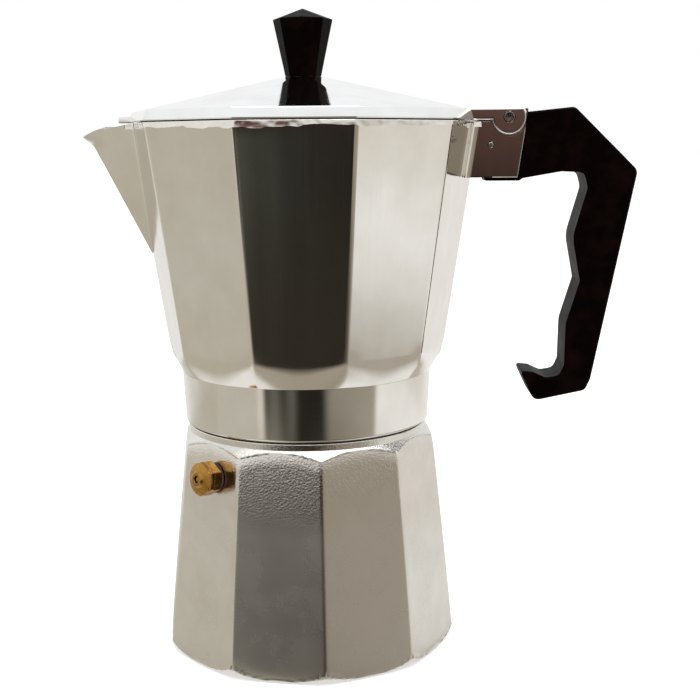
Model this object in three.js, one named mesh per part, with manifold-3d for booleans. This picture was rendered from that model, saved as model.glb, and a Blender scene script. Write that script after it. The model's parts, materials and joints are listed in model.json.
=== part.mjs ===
// A ten-sided stovetop coffee maker, or moka pot. Millimetres, +Z up.
// The origin is the centre of the base, where the pot rests.
// The handle points along +X and the spout along -X.
import * as THREE from "three";
import { ConvexGeometry } from "three/addons/geometries/ConvexGeometry.js";
import { mergeVertices } from "three/addons/utils/BufferGeometryUtils.js";
import Module from "manifold-3d";

const wasm = await Module();
wasm.setup();

// Shared by every piece
const sides = 10; // facets round the boiler, the jug and the lid
const roundSteps = 40; // straight steps in a large turned surface
const smallSteps = 16; // straight steps in a pin, a bore or a screw
const curveSteps = 5; // straight steps in a rounded corner or a fillet
const hexSides = 6;
const hexTurn = 30; // degrees, so that a six-sided piece has a corner up
const fitGap = 0.3; // between pieces that rest on or sit in each other
const overlap = 1; // how far joined shapes run into each other
const overcut = 6; // how far a cutter runs past what it opens
const weld = 1e-4; // corners closer than this are one corner
const cornerShare = 0.45; // most of a short side that one rounded corner may take

// Screwed joint between the boiler and the jug
const neckRadius = 43.2; // outside of the neck, under its thread
const neckWall = 4.5;
const neckHeight = 14.7; // above the boiler's shoulder
const neckChamfer = 1;
const threadPitch = 3;
const threadTurns = 1.75;
const threadDepth = 1.2;
const threadBaseWidth = 2.2;
const threadCrestWidth = 0.8;
const threadGap = 0.4; // between the two crests, so that the jug lifts straight off
const threadFade = 0.12; // share of the ridge's length that fades out at each end
const threadRoot = 0.6; // how far the ridge is rooted in its wall
const threadDrop = 2; // top of the ridge below the top of the neck
const collarWall = 2.6;
const collarHeight = 20.4;
const collarFlare = 1.1; // growth of the collar's radius towards its top
const collarEdge = 1.2; // chamfer round its lower edge
const landHeight = 2.6; // turned ring on the boiler under the collar
const landStep = 0.9; // how far that ring stands inside the collar
const seatGap = 0.6; // between that ring and the collar

// Boiler
const boilerHeight = 86.8; // base to the top of the shoulder
const boilerTaper = 0.1083; // growth of the corner radius per millimetre downwards
const boilerTurn = -9.41; // degrees from the jug's facets to the boiler's when screwed tight
const boilerWall = 3.2;
const boilerFloor = 4;
const boilerFloorRound = 6;
const shoulderStep = 2.3; // corner of the boiler beyond the collar
const baseRound = 5; // width of the turned edge of the base
const baseRoundHeight = 9;

// Safety valve
const valveFacet = -3.5; // facets round the boiler from +X to the middle of the valve's
const valveHeight = 74; // its centre above the base
const valveShift = 2.9; // sideways from the middle of its facet
const valveWasherThickness = 0.8;
const valveBodyLength = 3.8;
const valveCapLength = 1.9; // six-sided stretch of the cap
const valveNoseLength = 1.6; // cone in front of it
const valveNoseRadius = 2.4;
const valveShankRadius = 4.6;
const valveShoulder = 1.15; // flats of the hexagon beyond the shank
const valveShankLength = 8; // behind the washer
const valveBoreRadius = 3;
const valveInletRadius = 1.5;
const valveSpigotRadius = 3.8;
const valveSpigotLength = 1.4;
const valveSeatThickness = 1.5;
const poppetHeadThickness = 1.5;
const poppetStemRadius = 1;
const poppetSetback = 0.4; // end of the stem behind the mouth of the nose
const springWire = 0.3; // radius of the wire
const springCoils = 5;
const springStepsPerCoil = 10;
const springWireSteps = 3; // in each half of the wire's round section

// Funnel
const flangeThickness = 1;
const basketWall = 1.2;
const basketDepth = 24;
const basketGap = 0.5; // round the basket, in the neck
const basketConeHeight = 4;
const screenLedge = 1.6;
const screenThickness = 1;
const tubeRadius = 5.2;
const tubeWall = 1;
const tubeLip = 2.2;
const tubeFloorGap = 6; // end of the tube above the boiler's floor

// Seal and filter plate
const gasketThickness = 3.6;
const gasketInset = 1.7; // outside of the gasket inside the neck's outside
const gasketWidth = 8;
const plateThickness = 1;
const plateRimHeight = 1.6;
const plateSeat = 3.2; // how far the jug's seat overlaps the plate
const holeRadius = 1.25; // perforations
const holeSpacing = 8;
const holeSteps = 6;
const holeMargin = 3.5; // from a hole to the edge of its plate

// Jug
const jugHeight = 96.3; // top of the collar to the rim
const jugTaper = 0.1535; // growth of the corner radius per millimetre upwards
const jugFlare = 4.1; // corner of the jug beyond the collar, where the two would meet
const undercutSlope = 1.29; // rise over run of the turned cone under the facets
const jugWall = 3;
const jugFloor = 3.5;
const domeHeight = 2.5; // hollow above the filter plate

// Spout, a beak on one corner of the jug
const spoutReach = 18.5; // tip beyond the corner of the rim
const spoutDrop = 5; // tip below the rim
const spoutHeight = 51.5; // rim to the foot of the beak
const spoutHalfWidth = 11; // where it leaves the rim
const spoutWall = 2.1;
const lipLength = 2.4; // turned-out lip at the tip
const lipDrop = 1.5;
const lipBack = 7; // from the tip back to where the sides reach full height
const lipHalfWidth = 3.7;
const lipNotch = 1.4; // half width of the pouring notch
const beakDrop = 1.7; // top of the beak below the rim

// Chimney
const chimneyDrop = 20; // its top below the rim
const chimneyFootRadius = 9;
const chimneyFootHeight = 2;
const chimneyLowRadius = 8.4;
const chimneyTopRadius = 6.6;
const chimneyBore = 4.2; // radius
const chimneySpigotWall = 1.6;
const chimneyCap = 2;
const chimneySlotWidth = 5;
const chimneySlotHeight = 6;

// Hinge, with its bracket on the jug and its strap on the lid
const hingeReach = 10.5; // pin beyond the corner of the rim
const hingeRise = 1.65; // pin above the rim
const pinRadius = 2;
const pinWall = 0.45; // the pin is a rolled tube
const bracketHalfWidth = 10;
const bracketHeight = 21.3; // below the rim
const bracketRear = 6.8; // its end beyond the pin, at the rim
const bracketRake = 0.15; // lean of that end
const bracketFillet = 4.5;
const tongueHalfWidth = 4.8;
const slotDepth = 9.3; // front of the slot before the pin
const strapThickness = 2; // each ear of the strap
const strapPlate = 1.8;
const strapLead = 17; // how far the strap runs in over the lid from the pin
const lobeMargin = 4.8; // ear beyond the pin's surface
const cheekCover = 1.25; // bracket above the pin's surface
const cheekLead = 1.9; // bracket in front of the pin's surface
const plateSwing = 0.5; // room for the strap's plate to swing over the bracket

// Lid
const lidOverhang = 0.3;
const lidSkirt = 4;
const lidSkirtDraft = 1.2;
const lidRise = 13; // skirt to the flat under the knob
const lidWall = 2;
const lidRimWidth = 4;
const lidFlatRadius = 9;
const lidBeakReach = 3.4; // tongue of the lid over the spout
const lidBeakHalfWidth = 8;
const lidBeakTip = 2.5;
const lidBeakThickness = 2.4;

// Knob and its fixing
const knobSides = 8;
const knobNeckRadius = 7;
const knobTopRadius = 11.6;
const knobHeight = 21.5; // base to the widest part
const knobPeak = 4.2;
const insertRadius = 3.3;
const insertLength = 13;
const screwRadius = 1.7;
const screwLength = 12;
const screwHeadRadius = 3.5;
const screwHeadHeight = 2.2;
const screwSlotWidth = 0.9;
const screwSlotDepth = 1;
const knobWasherRadius = 5;
const knobWasherThickness = 0.8;

// Handle, from the hinge pin as its reference: x, z and corner radius of each corner
const handleHalfWidth = 10;
const handleTop = 1.9; // top of its front face above the pin
const handleFoot = -23.6; // foot of its front face
const handleOuter = [
  [25, 3.65, 3],
  [49.9, -20.5, 3.5],
  [33.5, -102.1, 5],
  [31.5, -106.6, 3],
  [11.4, -110.8, 3.5],
  [5.7, -98.6, 1.2],
  [11, -99.2, 2],
  [15.9, -101.5, 4],
  [21.2, -100.6, 3],
];
const handleGrip = [
  [23, -96.5, 3],
  [23.3, -80, 12],
  [28.4, -63.2, 1],
  [25.2, -46, 14],
  [30.6, -27, 5],
  [29.1, -21.2, 3],
  [20.4, -20.8, 4],
];
const tonguePeak = 1; // tongue above the pin's surface
const tongueTab = 1.4; // tongue below the bracket
const crossPinBack = 7; // small pin in front of the hinge pin
const crossPinDrop = 10.55;
const crossPinRadius = 1;
const pinProud = 0.2; // ends of the pins beyond the bracket

// Levels and radii that follow from the sizes above
const halfFacet = Math.PI / sides;
const neckTop = boilerHeight + neckHeight;
const neckBore = neckRadius - neckWall;
const collarBore = neckRadius + threadDepth + threadGap + threadDepth;
const collarRadius = collarBore + collarWall;
const collarTopRadius = collarRadius + collarFlare;
const landRadius = collarRadius - landStep;
const landTop = boilerHeight + landHeight;
const collarBottom = landTop + seatGap;
const collarTop = collarBottom + collarHeight;
const rimZ = collarTop + jugHeight;
const flangeBottom = neckTop + fitGap;
const flangeTop = flangeBottom + flangeThickness;
const gasketBottom = flangeTop + fitGap;
const gasketTop = gasketBottom + gasketThickness;
const gasketOuter = neckRadius - gasketInset;
const gasketInner = gasketOuter - gasketWidth;
const seatZ = gasketTop + fitGap;
const plateRadius = gasketInner - fitGap;
const domeRadius = plateRadius - plateSeat;
const domeTop = seatZ + domeHeight;
const jugFloorZ = domeTop + jugFloor;
const spigotRadius = chimneyBore + chimneySpigotWall;
const rimCorner = jugCorner(rimZ);
const pinX = rimCorner + hingeReach;
const pinZ = rimZ + hingeRise;
const crossPinX = pinX - crossPinBack;
const crossPinZ = pinZ - crossPinDrop;
const lidBottom = rimZ + fitGap;
const lidCorner = rimCorner + lidOverhang;
const lidFlatZ = lidBottom + lidSkirt + lidRise;
const knobBottom = lidFlatZ + fitGap;
const valveHexFlat = valveShankRadius + valveShoulder;
const valveHexCorner = (2 * valveHexFlat) / Math.sqrt(3);

function boilerCorner(z) {
  return collarRadius + shoulderStep + boilerTaper * (boilerHeight - z);
}

function boilerFlat(z) {
  return boilerCorner(z) * Math.cos(halfFacet);
}

function jugCorner(z) {
  return collarTopRadius + jugFlare + jugTaper * (z - collarTop);
}

// Solids: a closed mesh with shared corners, its thin slivers left out
function solidOf(geometry) {
  const bare = geometry.clone();
  bare.deleteAttribute("normal");
  bare.deleteAttribute("uv");
  const merged = mergeVertices(bare, weld);
  const index = merged.index.array;
  const corners = [];
  for (let i = 0; i < index.length; i += 3) {
    const [a, b, c] = [index[i], index[i + 1], index[i + 2]];
    if (a !== b && b !== c && a !== c) corners.push(a, b, c);
  }
  const mesh = new wasm.Mesh({
    numProp: 3,
    vertProperties: new Float32Array(merged.attributes.position.array),
    triVerts: new Uint32Array(corners),
  });
  return new wasm.Manifold(mesh);
}

function geometryOf(solid) {
  const mesh = solid.getMesh();
  const geometry = new THREE.BufferGeometry();
  const positions = new THREE.BufferAttribute(new Float32Array(mesh.vertProperties), 3);
  geometry.setAttribute("position", positions);
  geometry.setIndex(new THREE.BufferAttribute(new Uint32Array(mesh.triVerts), 1));
  geometry.computeVertexNormals();
  return geometry;
}

// A profile of [radius, z] points turned about Z, with a corner at the given angle
function turnedGeometry(profile, steps = roundSteps, turnDegrees = 0) {
  const points = profile.map(([r, z]) => new THREE.Vector2(r, z));
  const geometry = new THREE.LatheGeometry(points, steps);
  geometry.rotateX(Math.PI / 2);
  geometry.rotateZ(Math.PI / 2 + THREE.MathUtils.degToRad(turnDegrees));
  return geometry;
}

function turned(profile, steps, turnDegrees) {
  return solidOf(turnedGeometry(profile, steps, turnDegrees));
}

function cylinder(radius, low, high, steps = smallSteps) {
  return turned([[0, low], [radius, low], [radius, high], [0, high]], steps);
}

function ring(inner, outer, low, high, steps = roundSteps) {
  return turned([[inner, low], [outer, low], [outer, high], [inner, high], [inner, low]], steps);
}

// A cylinder along Y through the point (x, z)
function crossCylinder(x, z, radius, fromY, toY, steps = smallSteps) {
  const geometry = new THREE.CylinderGeometry(radius, radius, toY - fromY, steps);
  geometry.translate(x, (fromY + toY) / 2, z);
  return solidOf(geometry);
}

function block(lowX, highX, halfY, lowZ, highZ) {
  const geometry = new THREE.BoxGeometry(highX - lowX, 2 * halfY, highZ - lowZ);
  geometry.translate((lowX + highX) / 2, 0, (lowZ + highZ) / 2);
  return solidOf(geometry);
}

function hull(points) {
  return solidOf(new ConvexGeometry(points.map(([x, y, z]) => new THREE.Vector3(x, y, z))));
}

// A side outline in X and Z, given a width about the plane Y = 0
function slab(shape, halfWidth) {
  const geometry = new THREE.ExtrudeGeometry(shape, {
    depth: 2 * halfWidth, bevelEnabled: false, curveSegments: curveSteps,
  });
  geometry.translate(0, 0, -halfWidth);
  geometry.rotateX(Math.PI / 2);
  return solidOf(geometry);
}

// A closed outline through corners [x, y, radius]. A rounding starts its radius away from
// the corner, and takes no more than its share of a short side.
function roundedOutline(corners) {
  const shape = new THREE.Shape();
  const count = corners.length;
  corners.forEach(([x, y, radius = 0], i) => {
    const corner = new THREE.Vector2(x, y);
    const before = new THREE.Vector2(...corners[(i + count - 1) % count]).sub(corner);
    const after = new THREE.Vector2(...corners[(i + 1) % count]).sub(corner);
    const reach = Math.min(radius, cornerShare * before.length(), cornerShare * after.length());
    const start = corner.clone().add(before.setLength(reach));
    const end = corner.clone().add(after.setLength(reach));
    if (i === 0) shape.moveTo(start.x, start.y);
    else shape.lineTo(start.x, start.y);
    if (reach > 0) shape.quadraticCurveTo(corner.x, corner.y, end.x, end.y);
  });
  shape.closePath();
  return shape;
}

// The rounded lower corner of a turned profile, from straight below its centre to straight outwards
function elbow(centreR, centreZ, sizeR, sizeZ) {
  const points = [];
  for (let i = 0; i <= curveSteps; i += 1) {
    const angle = (Math.PI / 2) * (i / curveSteps - 1);
    points.push([centreR + sizeR * Math.cos(angle), centreZ + sizeZ * Math.sin(angle)]);
  }
  return points;
}

// A right-hand thread ridge wound about Z from its top downwards.
// direction is +1 for a ridge that stands out from the wall, -1 for one that stands in.
function threadRidge(wallRadius, direction, topZ) {
  const halfBase = threadBaseWidth / 2;
  const halfCrest = threadCrestWidth / 2;
  const section = new THREE.Shape([
    new THREE.Vector2(-direction * threadRoot, -halfBase),
    new THREE.Vector2(0, -halfBase),
    new THREE.Vector2(direction * threadDepth, -halfCrest),
    new THREE.Vector2(direction * threadDepth, halfCrest),
    new THREE.Vector2(0, halfBase),
    new THREE.Vector2(-direction * threadRoot, halfBase),
  ]);
  const steps = Math.round(threadTurns * roundSteps);
  const bar = new THREE.ExtrudeGeometry(section, { depth: 1, steps, bevelEnabled: false });
  const position = bar.attributes.position;
  for (let i = 0; i < position.count; i += 1) {
    const along = position.getZ(i);
    const height = position.getX(i);
    const fade = Math.min(1, along / threadFade, (1 - along) / threadFade);
    const rising = height * direction > 0;
    const radius = wallRadius + (rising ? height * fade : height);
    const angle = -2 * Math.PI * threadTurns * along;
    const z = topZ - halfBase - threadPitch * threadTurns * along + position.getY(i);
    position.setXYZ(i, radius * Math.cos(angle), radius * Math.sin(angle), z);
  }
  return solidOf(bar);
}

// Finishes
function finish(color, roughness, metalness) {
  return new THREE.MeshStandardMaterial({ color, roughness, metalness });
}

const group = new THREE.Group();

function place(name, solid, material, parent = group) {
  const mesh = new THREE.Mesh(geometryOf(solid), material);
  mesh.name = name;
  parent.add(mesh);
}

// The valve's own frame: its Z axis stands square out of the boiler's facet
function valveFrame() {
  const facetAngle = THREE.MathUtils.degToRad(boilerTurn) + valveFacet * 2 * halfFacet;
  const lean = Math.atan(boilerTaper * Math.cos(halfFacet));
  const across = new THREE.Vector3(Math.cos(facetAngle), Math.sin(facetAngle), 0);
  const up = new THREE.Vector3(0, 0, 1);
  const normal = across.clone().multiplyScalar(Math.cos(lean)).addScaledVector(up, Math.sin(lean));
  const rise = up.clone().multiplyScalar(Math.cos(lean)).addScaledVector(across, -Math.sin(lean));
  const sideways = rise.clone().cross(normal);
  const centre = across.multiplyScalar(boilerFlat(valveHeight));
  centre.z = valveHeight;
  centre.addScaledVector(sideways, valveShift);
  const frame = new THREE.Group();
  frame.matrix.makeBasis(sideways, rise, normal).setPosition(centre);
  frame.matrix.decompose(frame.position, frame.quaternion, frame.scale);
  return frame;
}

const valve = valveFrame();
group.add(valve);

function boiler() {
  const baseCorner = boilerCorner(0);
  const envelope = [
    [0, 0],
    ...elbow(baseCorner - baseRound, baseRoundHeight, baseRound, baseRoundHeight),
    [baseCorner, boilerHeight - (baseCorner - landRadius)],
    [landRadius, boilerHeight],
    [0, boilerHeight],
  ];
  const prism = [[0, 0], [baseCorner, 0], [boilerCorner(boilerHeight), boilerHeight], [0, boilerHeight]];
  const neck = [
    [0, boilerHeight - overlap],
    [landRadius - overlap, boilerHeight - overlap],
    [landRadius, boilerHeight],
    [landRadius, landTop],
    [neckRadius, landTop],
    [neckRadius, neckTop - neckChamfer],
    [neckRadius - neckChamfer, neckTop],
    [0, neckTop],
  ];
  const wideTop = boilerFlat(boilerHeight) - boilerWall;
  const chestZ = boilerHeight - boilerWall - (wideTop - neckBore);
  const lowRadius = boilerFlat(boilerFloor) - boilerWall;
  const cavity = [
    [0, boilerFloor],
    ...elbow(
      lowRadius - boilerFloorRound,
      boilerFloor + boilerFloorRound,
      boilerFloorRound,
      boilerFloorRound,
    ),
    [wideTop, chestZ],
    [neckBore, chestZ + wideTop - neckBore],
    [neckBore, neckTop + overcut],
    [0, neckTop + overcut],
  ];
  const holeFit = valveShankRadius + fitGap;
  const hole = turnedGeometry([
    [0, -valveShankLength],
    [holeFit, -valveShankLength],
    [holeFit, overcut],
    [0, overcut],
  ], smallSteps);
  hole.applyMatrix4(valve.matrix);
  return turned(prism, sides, boilerTurn)
    .intersect(turned(envelope))
    .add(turned(neck))
    .add(threadRidge(neckRadius, 1, neckTop - threadDrop))
    .subtract(turned(cavity))
    .subtract(solidOf(hole));
}

// Valve pieces, in the valve's own frame
const washerTop = fitGap + valveWasherThickness;
const hexLow = washerTop + fitGap;
const hexHigh = hexLow + valveBodyLength;
const shankEnd = washerTop - valveShankLength;
const capLow = hexHigh + fitGap;
const capHigh = capLow + valveCapLength;
const noseEnd = capHigh + valveNoseLength;
const counterbore = valveSpigotLength + fitGap;
const seatTop = shankEnd + valveSeatThickness;
const headLow = seatTop + fitGap;
const headHigh = headLow + poppetHeadThickness;

function valveWasher() {
  return ring(valveShankRadius + fitGap, valveHexFlat, fitGap, washerTop, smallSteps);
}

function valveBody() {
  return cylinder(valveHexCorner, hexLow, hexHigh, hexSides).rotate([0, 0, hexTurn])
    .add(cylinder(valveShankRadius, shankEnd, hexLow + overlap))
    .add(cylinder(valveSpigotRadius, hexHigh - overlap, hexHigh + valveSpigotLength))
    .subtract(cylinder(valveBoreRadius, seatTop, hexHigh + overcut))
    .subtract(cylinder(valveInletRadius, shankEnd - overcut, seatTop + overlap));
}

function valveCap() {
  const cone = [
    [0, capLow],
    [valveHexCorner, capLow],
    [valveHexCorner, capHigh - overlap],
    [valveNoseRadius, noseEnd],
    [0, noseEnd],
  ];
  return cylinder(valveHexCorner, capLow, noseEnd, hexSides).rotate([0, 0, hexTurn])
    .intersect(turned(cone))
    .subtract(cylinder(valveSpigotRadius + fitGap, capLow - overcut, capLow + counterbore))
    .subtract(cylinder(poppetStemRadius + fitGap, capLow, noseEnd + overcut));
}

function valvePoppet() {
  return cylinder(valveBoreRadius - fitGap, headLow, headHigh)
    .add(cylinder(poppetStemRadius, headHigh - overlap, noseEnd - poppetSetback));
}

function valveSpring() {
  const radius = (poppetStemRadius + valveBoreRadius) / 2;
  const low = headHigh + fitGap + springWire;
  const high = capLow + counterbore - fitGap - springWire;
  const steps = springCoils * springStepsPerCoil;
  const points = [];
  for (let i = 0; i <= steps; i += 1) {
    const angle = (2 * Math.PI * i) / springStepsPerCoil;
    points.push(new THREE.Vector3(
      radius * Math.cos(angle),
      radius * Math.sin(angle),
      low + ((high - low) * i) / steps,
    ));
  }
  const wire = new THREE.Shape();
  wire.absarc(0, 0, springWire, 0, 2 * Math.PI);
  return solidOf(new THREE.ExtrudeGeometry(wire, {
    steps,
    curveSegments: springWireSteps,
    bevelEnabled: false,
    extrudePath: new THREE.CatmullRomCurve3(points),
  }));
}

// Funnel levels
const basketRadius = neckBore - basketGap;
const basketInner = basketRadius - basketWall;
const basketFoot = neckTop - basketDepth;
const ledgeZ = basketFoot + basketConeHeight;
const tubeHole = tubeRadius + fitGap;
const tubeLipRadius = tubeRadius + tubeLip;
const coneFlat = tubeLipRadius + fitGap;
const lipBottom = basketFoot + basketWall + fitGap;
const screenBottom = ledgeZ + fitGap;

function funnelBasket() {
  return turned([
    [tubeHole, basketFoot],
    [coneFlat, basketFoot],
    [basketRadius, ledgeZ - basketWall],
    [basketRadius, flangeBottom],
    [gasketOuter - fitGap, flangeBottom],
    [gasketOuter - fitGap, flangeTop],
    [basketInner, flangeTop],
    [basketInner, ledgeZ],
    [basketInner - screenLedge, ledgeZ],
    [coneFlat, basketFoot + basketWall],
    [tubeHole, basketFoot + basketWall],
    [tubeHole, basketFoot],
  ]);
}

function funnelTube() {
  const bore = tubeRadius - tubeWall;
  return turned([
    [bore, boilerFloor + tubeFloorGap],
    [tubeRadius, boilerFloor + tubeFloorGap],
    [tubeRadius, lipBottom],
    [tubeLipRadius, lipBottom],
    [tubeLipRadius, lipBottom + tubeWall],
    [bore, lipBottom + tubeWall],
    [bore, boilerFloor + tubeFloorGap],
  ], smallSteps);
}

// A round disc with a six-sided grid of holes
function perforatedDisc(radius, low, thickness) {
  const shape = new THREE.Shape();
  shape.absarc(0, 0, radius, 0, 2 * Math.PI);
  const reach = radius - holeMargin - holeRadius;
  const rowSpacing = holeSpacing * Math.cos(Math.PI / 6);
  const rows = Math.floor(reach / rowSpacing);
  const columns = Math.ceil(reach / holeSpacing) + 1;
  const angles = Array.from({ length: holeSteps }, (_, i) => (-2 * Math.PI * i) / holeSteps);
  for (let row = -rows; row <= rows; row += 1) {
    const y = row * rowSpacing;
    const shift = row % 2 === 0 ? 0 : holeSpacing / 2;
    for (let column = -columns; column <= columns; column += 1) {
      const x = column * holeSpacing + shift;
      if (Math.hypot(x, y) > reach) continue;
      const rim = angles.map((angle) => new THREE.Vector2(
        x + holeRadius * Math.cos(angle),
        y + holeRadius * Math.sin(angle),
      ));
      shape.holes.push(new THREE.Path(rim));
    }
  }
  const disc = new THREE.ExtrudeGeometry(shape, {
    depth: thickness, bevelEnabled: false, curveSegments: roundSteps,
  });
  disc.translate(0, 0, low);
  return solidOf(disc);
}

function funnelScreen() {
  return perforatedDisc(basketInner - fitGap, screenBottom, screenThickness);
}

function filterPlate() {
  const top = seatZ - fitGap;
  const low = top - plateThickness;
  return perforatedDisc(plateRadius, low, plateThickness)
    .add(ring(plateRadius - plateThickness, plateRadius, low - plateRimHeight, top));
}

function gasket() {
  return ring(gasketInner, gasketOuter, gasketBottom, gasketTop);
}

function jugBody() {
  const low = collarTop - overlap;
  const prism = [[0, low], [jugCorner(low), low], [rimCorner, rimZ], [0, rimZ]];
  const reach = rimCorner + overcut;
  const envelope = [
    [0, low],
    [collarTopRadius - overlap / undercutSlope, low],
    [reach, collarTop + (reach - collarTopRadius) * undercutSlope],
    [reach, rimZ + overcut],
    [0, rimZ + overcut],
  ];
  const collar = [
    [0, collarBottom],
    [collarRadius - collarEdge, collarBottom],
    [collarRadius, collarBottom + collarEdge],
    [collarTopRadius, collarTop],
    [0, collarTop + overlap],
  ];
  return turned(prism, sides).intersect(turned(envelope)).add(turned(collar));
}

function jugInside() {
  const wallAcross = jugWall / Math.cos(halfFacet);
  const wallRun = (jugWall * Math.hypot(1, undercutSlope)) / undercutSlope;
  const high = rimZ + overcut;
  const prism = [
    [0, jugFloorZ],
    [jugCorner(jugFloorZ) - wallAcross, jugFloorZ],
    [jugCorner(high) - wallAcross, high],
    [0, high],
  ];
  const floorRadius = collarTopRadius + (jugFloorZ - collarTop) / undercutSlope - wallRun;
  const envelope = [
    [0, jugFloorZ],
    [floorRadius, jugFloorZ],
    [floorRadius + (high - jugFloorZ) / undercutSlope, high],
    [0, high],
  ];
  return turned(prism, sides).intersect(turned(envelope));
}

// The collar's threaded bore, the gasket's seat, the hollow over the plate and the chimney's hole
function jugUnderside() {
  return turned([
    [0, collarBottom - overcut],
    [collarBore, collarBottom - overcut],
    [collarBore, flangeTop],
    [gasketOuter + fitGap, flangeTop],
    [gasketOuter + fitGap, seatZ],
    [domeRadius, seatZ],
    [chimneyFootRadius, domeTop],
    [spigotRadius + fitGap, domeTop],
    [spigotRadius + fitGap, jugFloorZ + overcut],
    [0, jugFloorZ + overcut],
  ]);
}

const spoutTipX = -(rimCorner + spoutReach);
const spoutTipZ = rimZ - spoutDrop;
const spoutFootZ = rimZ - spoutHeight;
const rootX = -(rimCorner - spoutHalfWidth * Math.tan(halfFacet) - overlap);

function spoutShell() {
  const lipZ = rimZ - beakDrop;
  return hull([
    [-(jugCorner(spoutFootZ) - overlap), 0, spoutFootZ],
    [spoutTipX + lipLength, 0, spoutTipZ - lipDrop],
    [spoutTipX, 0, spoutTipZ],
    [spoutTipX + lipBack, -lipHalfWidth, lipZ],
    [spoutTipX + lipBack, lipHalfWidth, lipZ],
    [rootX, -spoutHalfWidth, rimZ],
    [rootX, spoutHalfWidth, rimZ],
  ]);
}

function spoutChannel() {
  const open = rimZ + overcut;
  const keelX = spoutTipX + lipLength + spoutWall;
  const rootHalf = spoutHalfWidth - spoutWall;
  const startX = -(jugCorner(spoutFootZ) - jugWall - overlap);
  const inside = rootX + jugWall + overlap;
  const channel = hull([
    [startX + spoutWall, 0, spoutFootZ + spoutWall],
    [keelX, 0, spoutTipZ - lipDrop],
    [keelX, 0, open],
    [spoutTipX + lipBack, -(lipHalfWidth - spoutWall / 2), open],
    [spoutTipX + lipBack, lipHalfWidth - spoutWall / 2, open],
    [inside, -rootHalf, rimZ - spoutWall],
    [inside, rootHalf, rimZ - spoutWall],
    [inside, -rootHalf, open],
    [inside, rootHalf, open],
  ]);
  return channel.add(block(spoutTipX - overcut, keelX + overlap, lipNotch, spoutTipZ + fitGap, open));
}

// Bracket on the jug that holds the hinge pin and the handle
const bracketBottom = rimZ - bracketHeight;
const cheekTop = pinRadius + cheekCover;
const cheekFront = pinRadius + cheekLead;
const innerHalf = bracketHalfWidth - strapThickness - fitGap;
const lobeRadius = pinRadius + lobeMargin;
const pinHole = pinRadius + fitGap;
const tongueTop = pinRadius + tonguePeak;
const tongueSlotHalf = tongueHalfWidth + fitGap;

function rearX(z) {
  return pinX + bracketRear + bracketRake * (z - rimZ);
}

// Concave fillets between the bracket's cheeks and the two facets beside it
function bracketRoot() {
  const facetRun = Math.tan(halfFacet);
  const tangent = bracketFillet * Math.tan(Math.PI / 4 - halfFacet / 2);
  const cornerX = rimCorner - bracketHalfWidth * facetRun;
  const startX = cornerX + tangent;
  const endY = bracketHalfWidth + tangent * Math.cos(halfFacet);
  const endX = cornerX - tangent * Math.sin(halfFacet);
  const backX = cornerX - 2 * jugWall;
  const shape = new THREE.Shape();
  shape.moveTo(backX, -endY);
  shape.lineTo(endX, -endY);
  shape.quadraticCurveTo(cornerX, -bracketHalfWidth, startX, -bracketHalfWidth);
  shape.lineTo(startX, bracketHalfWidth);
  shape.quadraticCurveTo(cornerX, bracketHalfWidth, endX, endY);
  shape.lineTo(backX, endY);
  shape.closePath();
  const geometry = new THREE.ExtrudeGeometry(shape, {
    depth: bracketHeight, bevelEnabled: false, curveSegments: curveSteps,
  });
  geometry.translate(0, 0, bracketBottom);
  const lean = new THREE.Matrix4().set(
    1, 0, jugTaper, -jugTaper * rimZ,
    0, 1, 0, 0,
    0, 0, 1, 0,
    0, 0, 0, 1,
  );
  geometry.applyMatrix4(lean);
  return solidOf(geometry);
}

function bracketArm() {
  const side = new THREE.Shape([
    new THREE.Vector2(rimCorner - 2 * jugWall - bracketHeight * jugTaper, bracketBottom),
    new THREE.Vector2(rearX(bracketBottom), bracketBottom),
    new THREE.Vector2(rearX(rimZ), rimZ),
    new THREE.Vector2(rimCorner - 2 * jugWall, rimZ),
  ]);
  const cheeks = new THREE.Shape([
    new THREE.Vector2(pinX - cheekFront, rimZ - overlap),
    new THREE.Vector2(rearX(rimZ - overlap), rimZ - overlap),
    new THREE.Vector2(rearX(pinZ + cheekTop), pinZ + cheekTop),
    new THREE.Vector2(pinX - cheekFront, pinZ + cheekTop),
  ]);
  return slab(side, bracketHalfWidth).add(slab(cheeks, innerHalf));
}

function bracketCuts() {
  const pocket = lobeRadius + fitGap + overlap / 2;
  const outside = bracketHalfWidth + overcut;
  const slotEnd = pinX + bracketRear + overcut;
  return block(pinX - slotDepth, slotEnd, tongueSlotHalf, bracketBottom - overcut, pinZ + overcut)
    .add(crossCylinder(pinX, pinZ, pocket, -outside, -innerHalf, roundSteps))
    .add(crossCylinder(pinX, pinZ, pocket, innerHalf, outside, roundSteps))
    .add(crossCylinder(pinX, pinZ, pinHole, -outside, outside))
    .add(crossCylinder(crossPinX, crossPinZ, crossPinRadius + fitGap, -outside, outside));
}

function jug() {
  return jugBody()
    .add(spoutShell())
    .add(bracketRoot())
    .add(bracketArm())
    .subtract(jugInside())
    .subtract(spoutChannel())
    .subtract(jugUnderside())
    .subtract(bracketCuts())
    .add(threadRidge(collarBore, -1, neckTop - threadDrop - threadPitch / 2));
}

function chimney() {
  const foot = jugFloorZ + fitGap;
  const top = rimZ - chimneyDrop;
  const column = turned([
    [0, domeTop],
    [spigotRadius, domeTop],
    [spigotRadius, foot],
    [chimneyFootRadius, foot],
    [chimneyFootRadius, foot + chimneyFootHeight],
    [chimneyLowRadius, foot + 2 * chimneyFootHeight],
    [chimneyTopRadius, top],
    [0, top],
  ]);
  const slotTop = top - chimneyCap;
  const slotHalf = chimneySlotWidth / 2;
  const through = chimneyLowRadius + overcut;
  return column
    .subtract(cylinder(chimneyBore, domeTop - overcut, slotTop))
    .subtract(block(-slotHalf, slotHalf, through, slotTop - chimneySlotHeight, slotTop));
}

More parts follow.
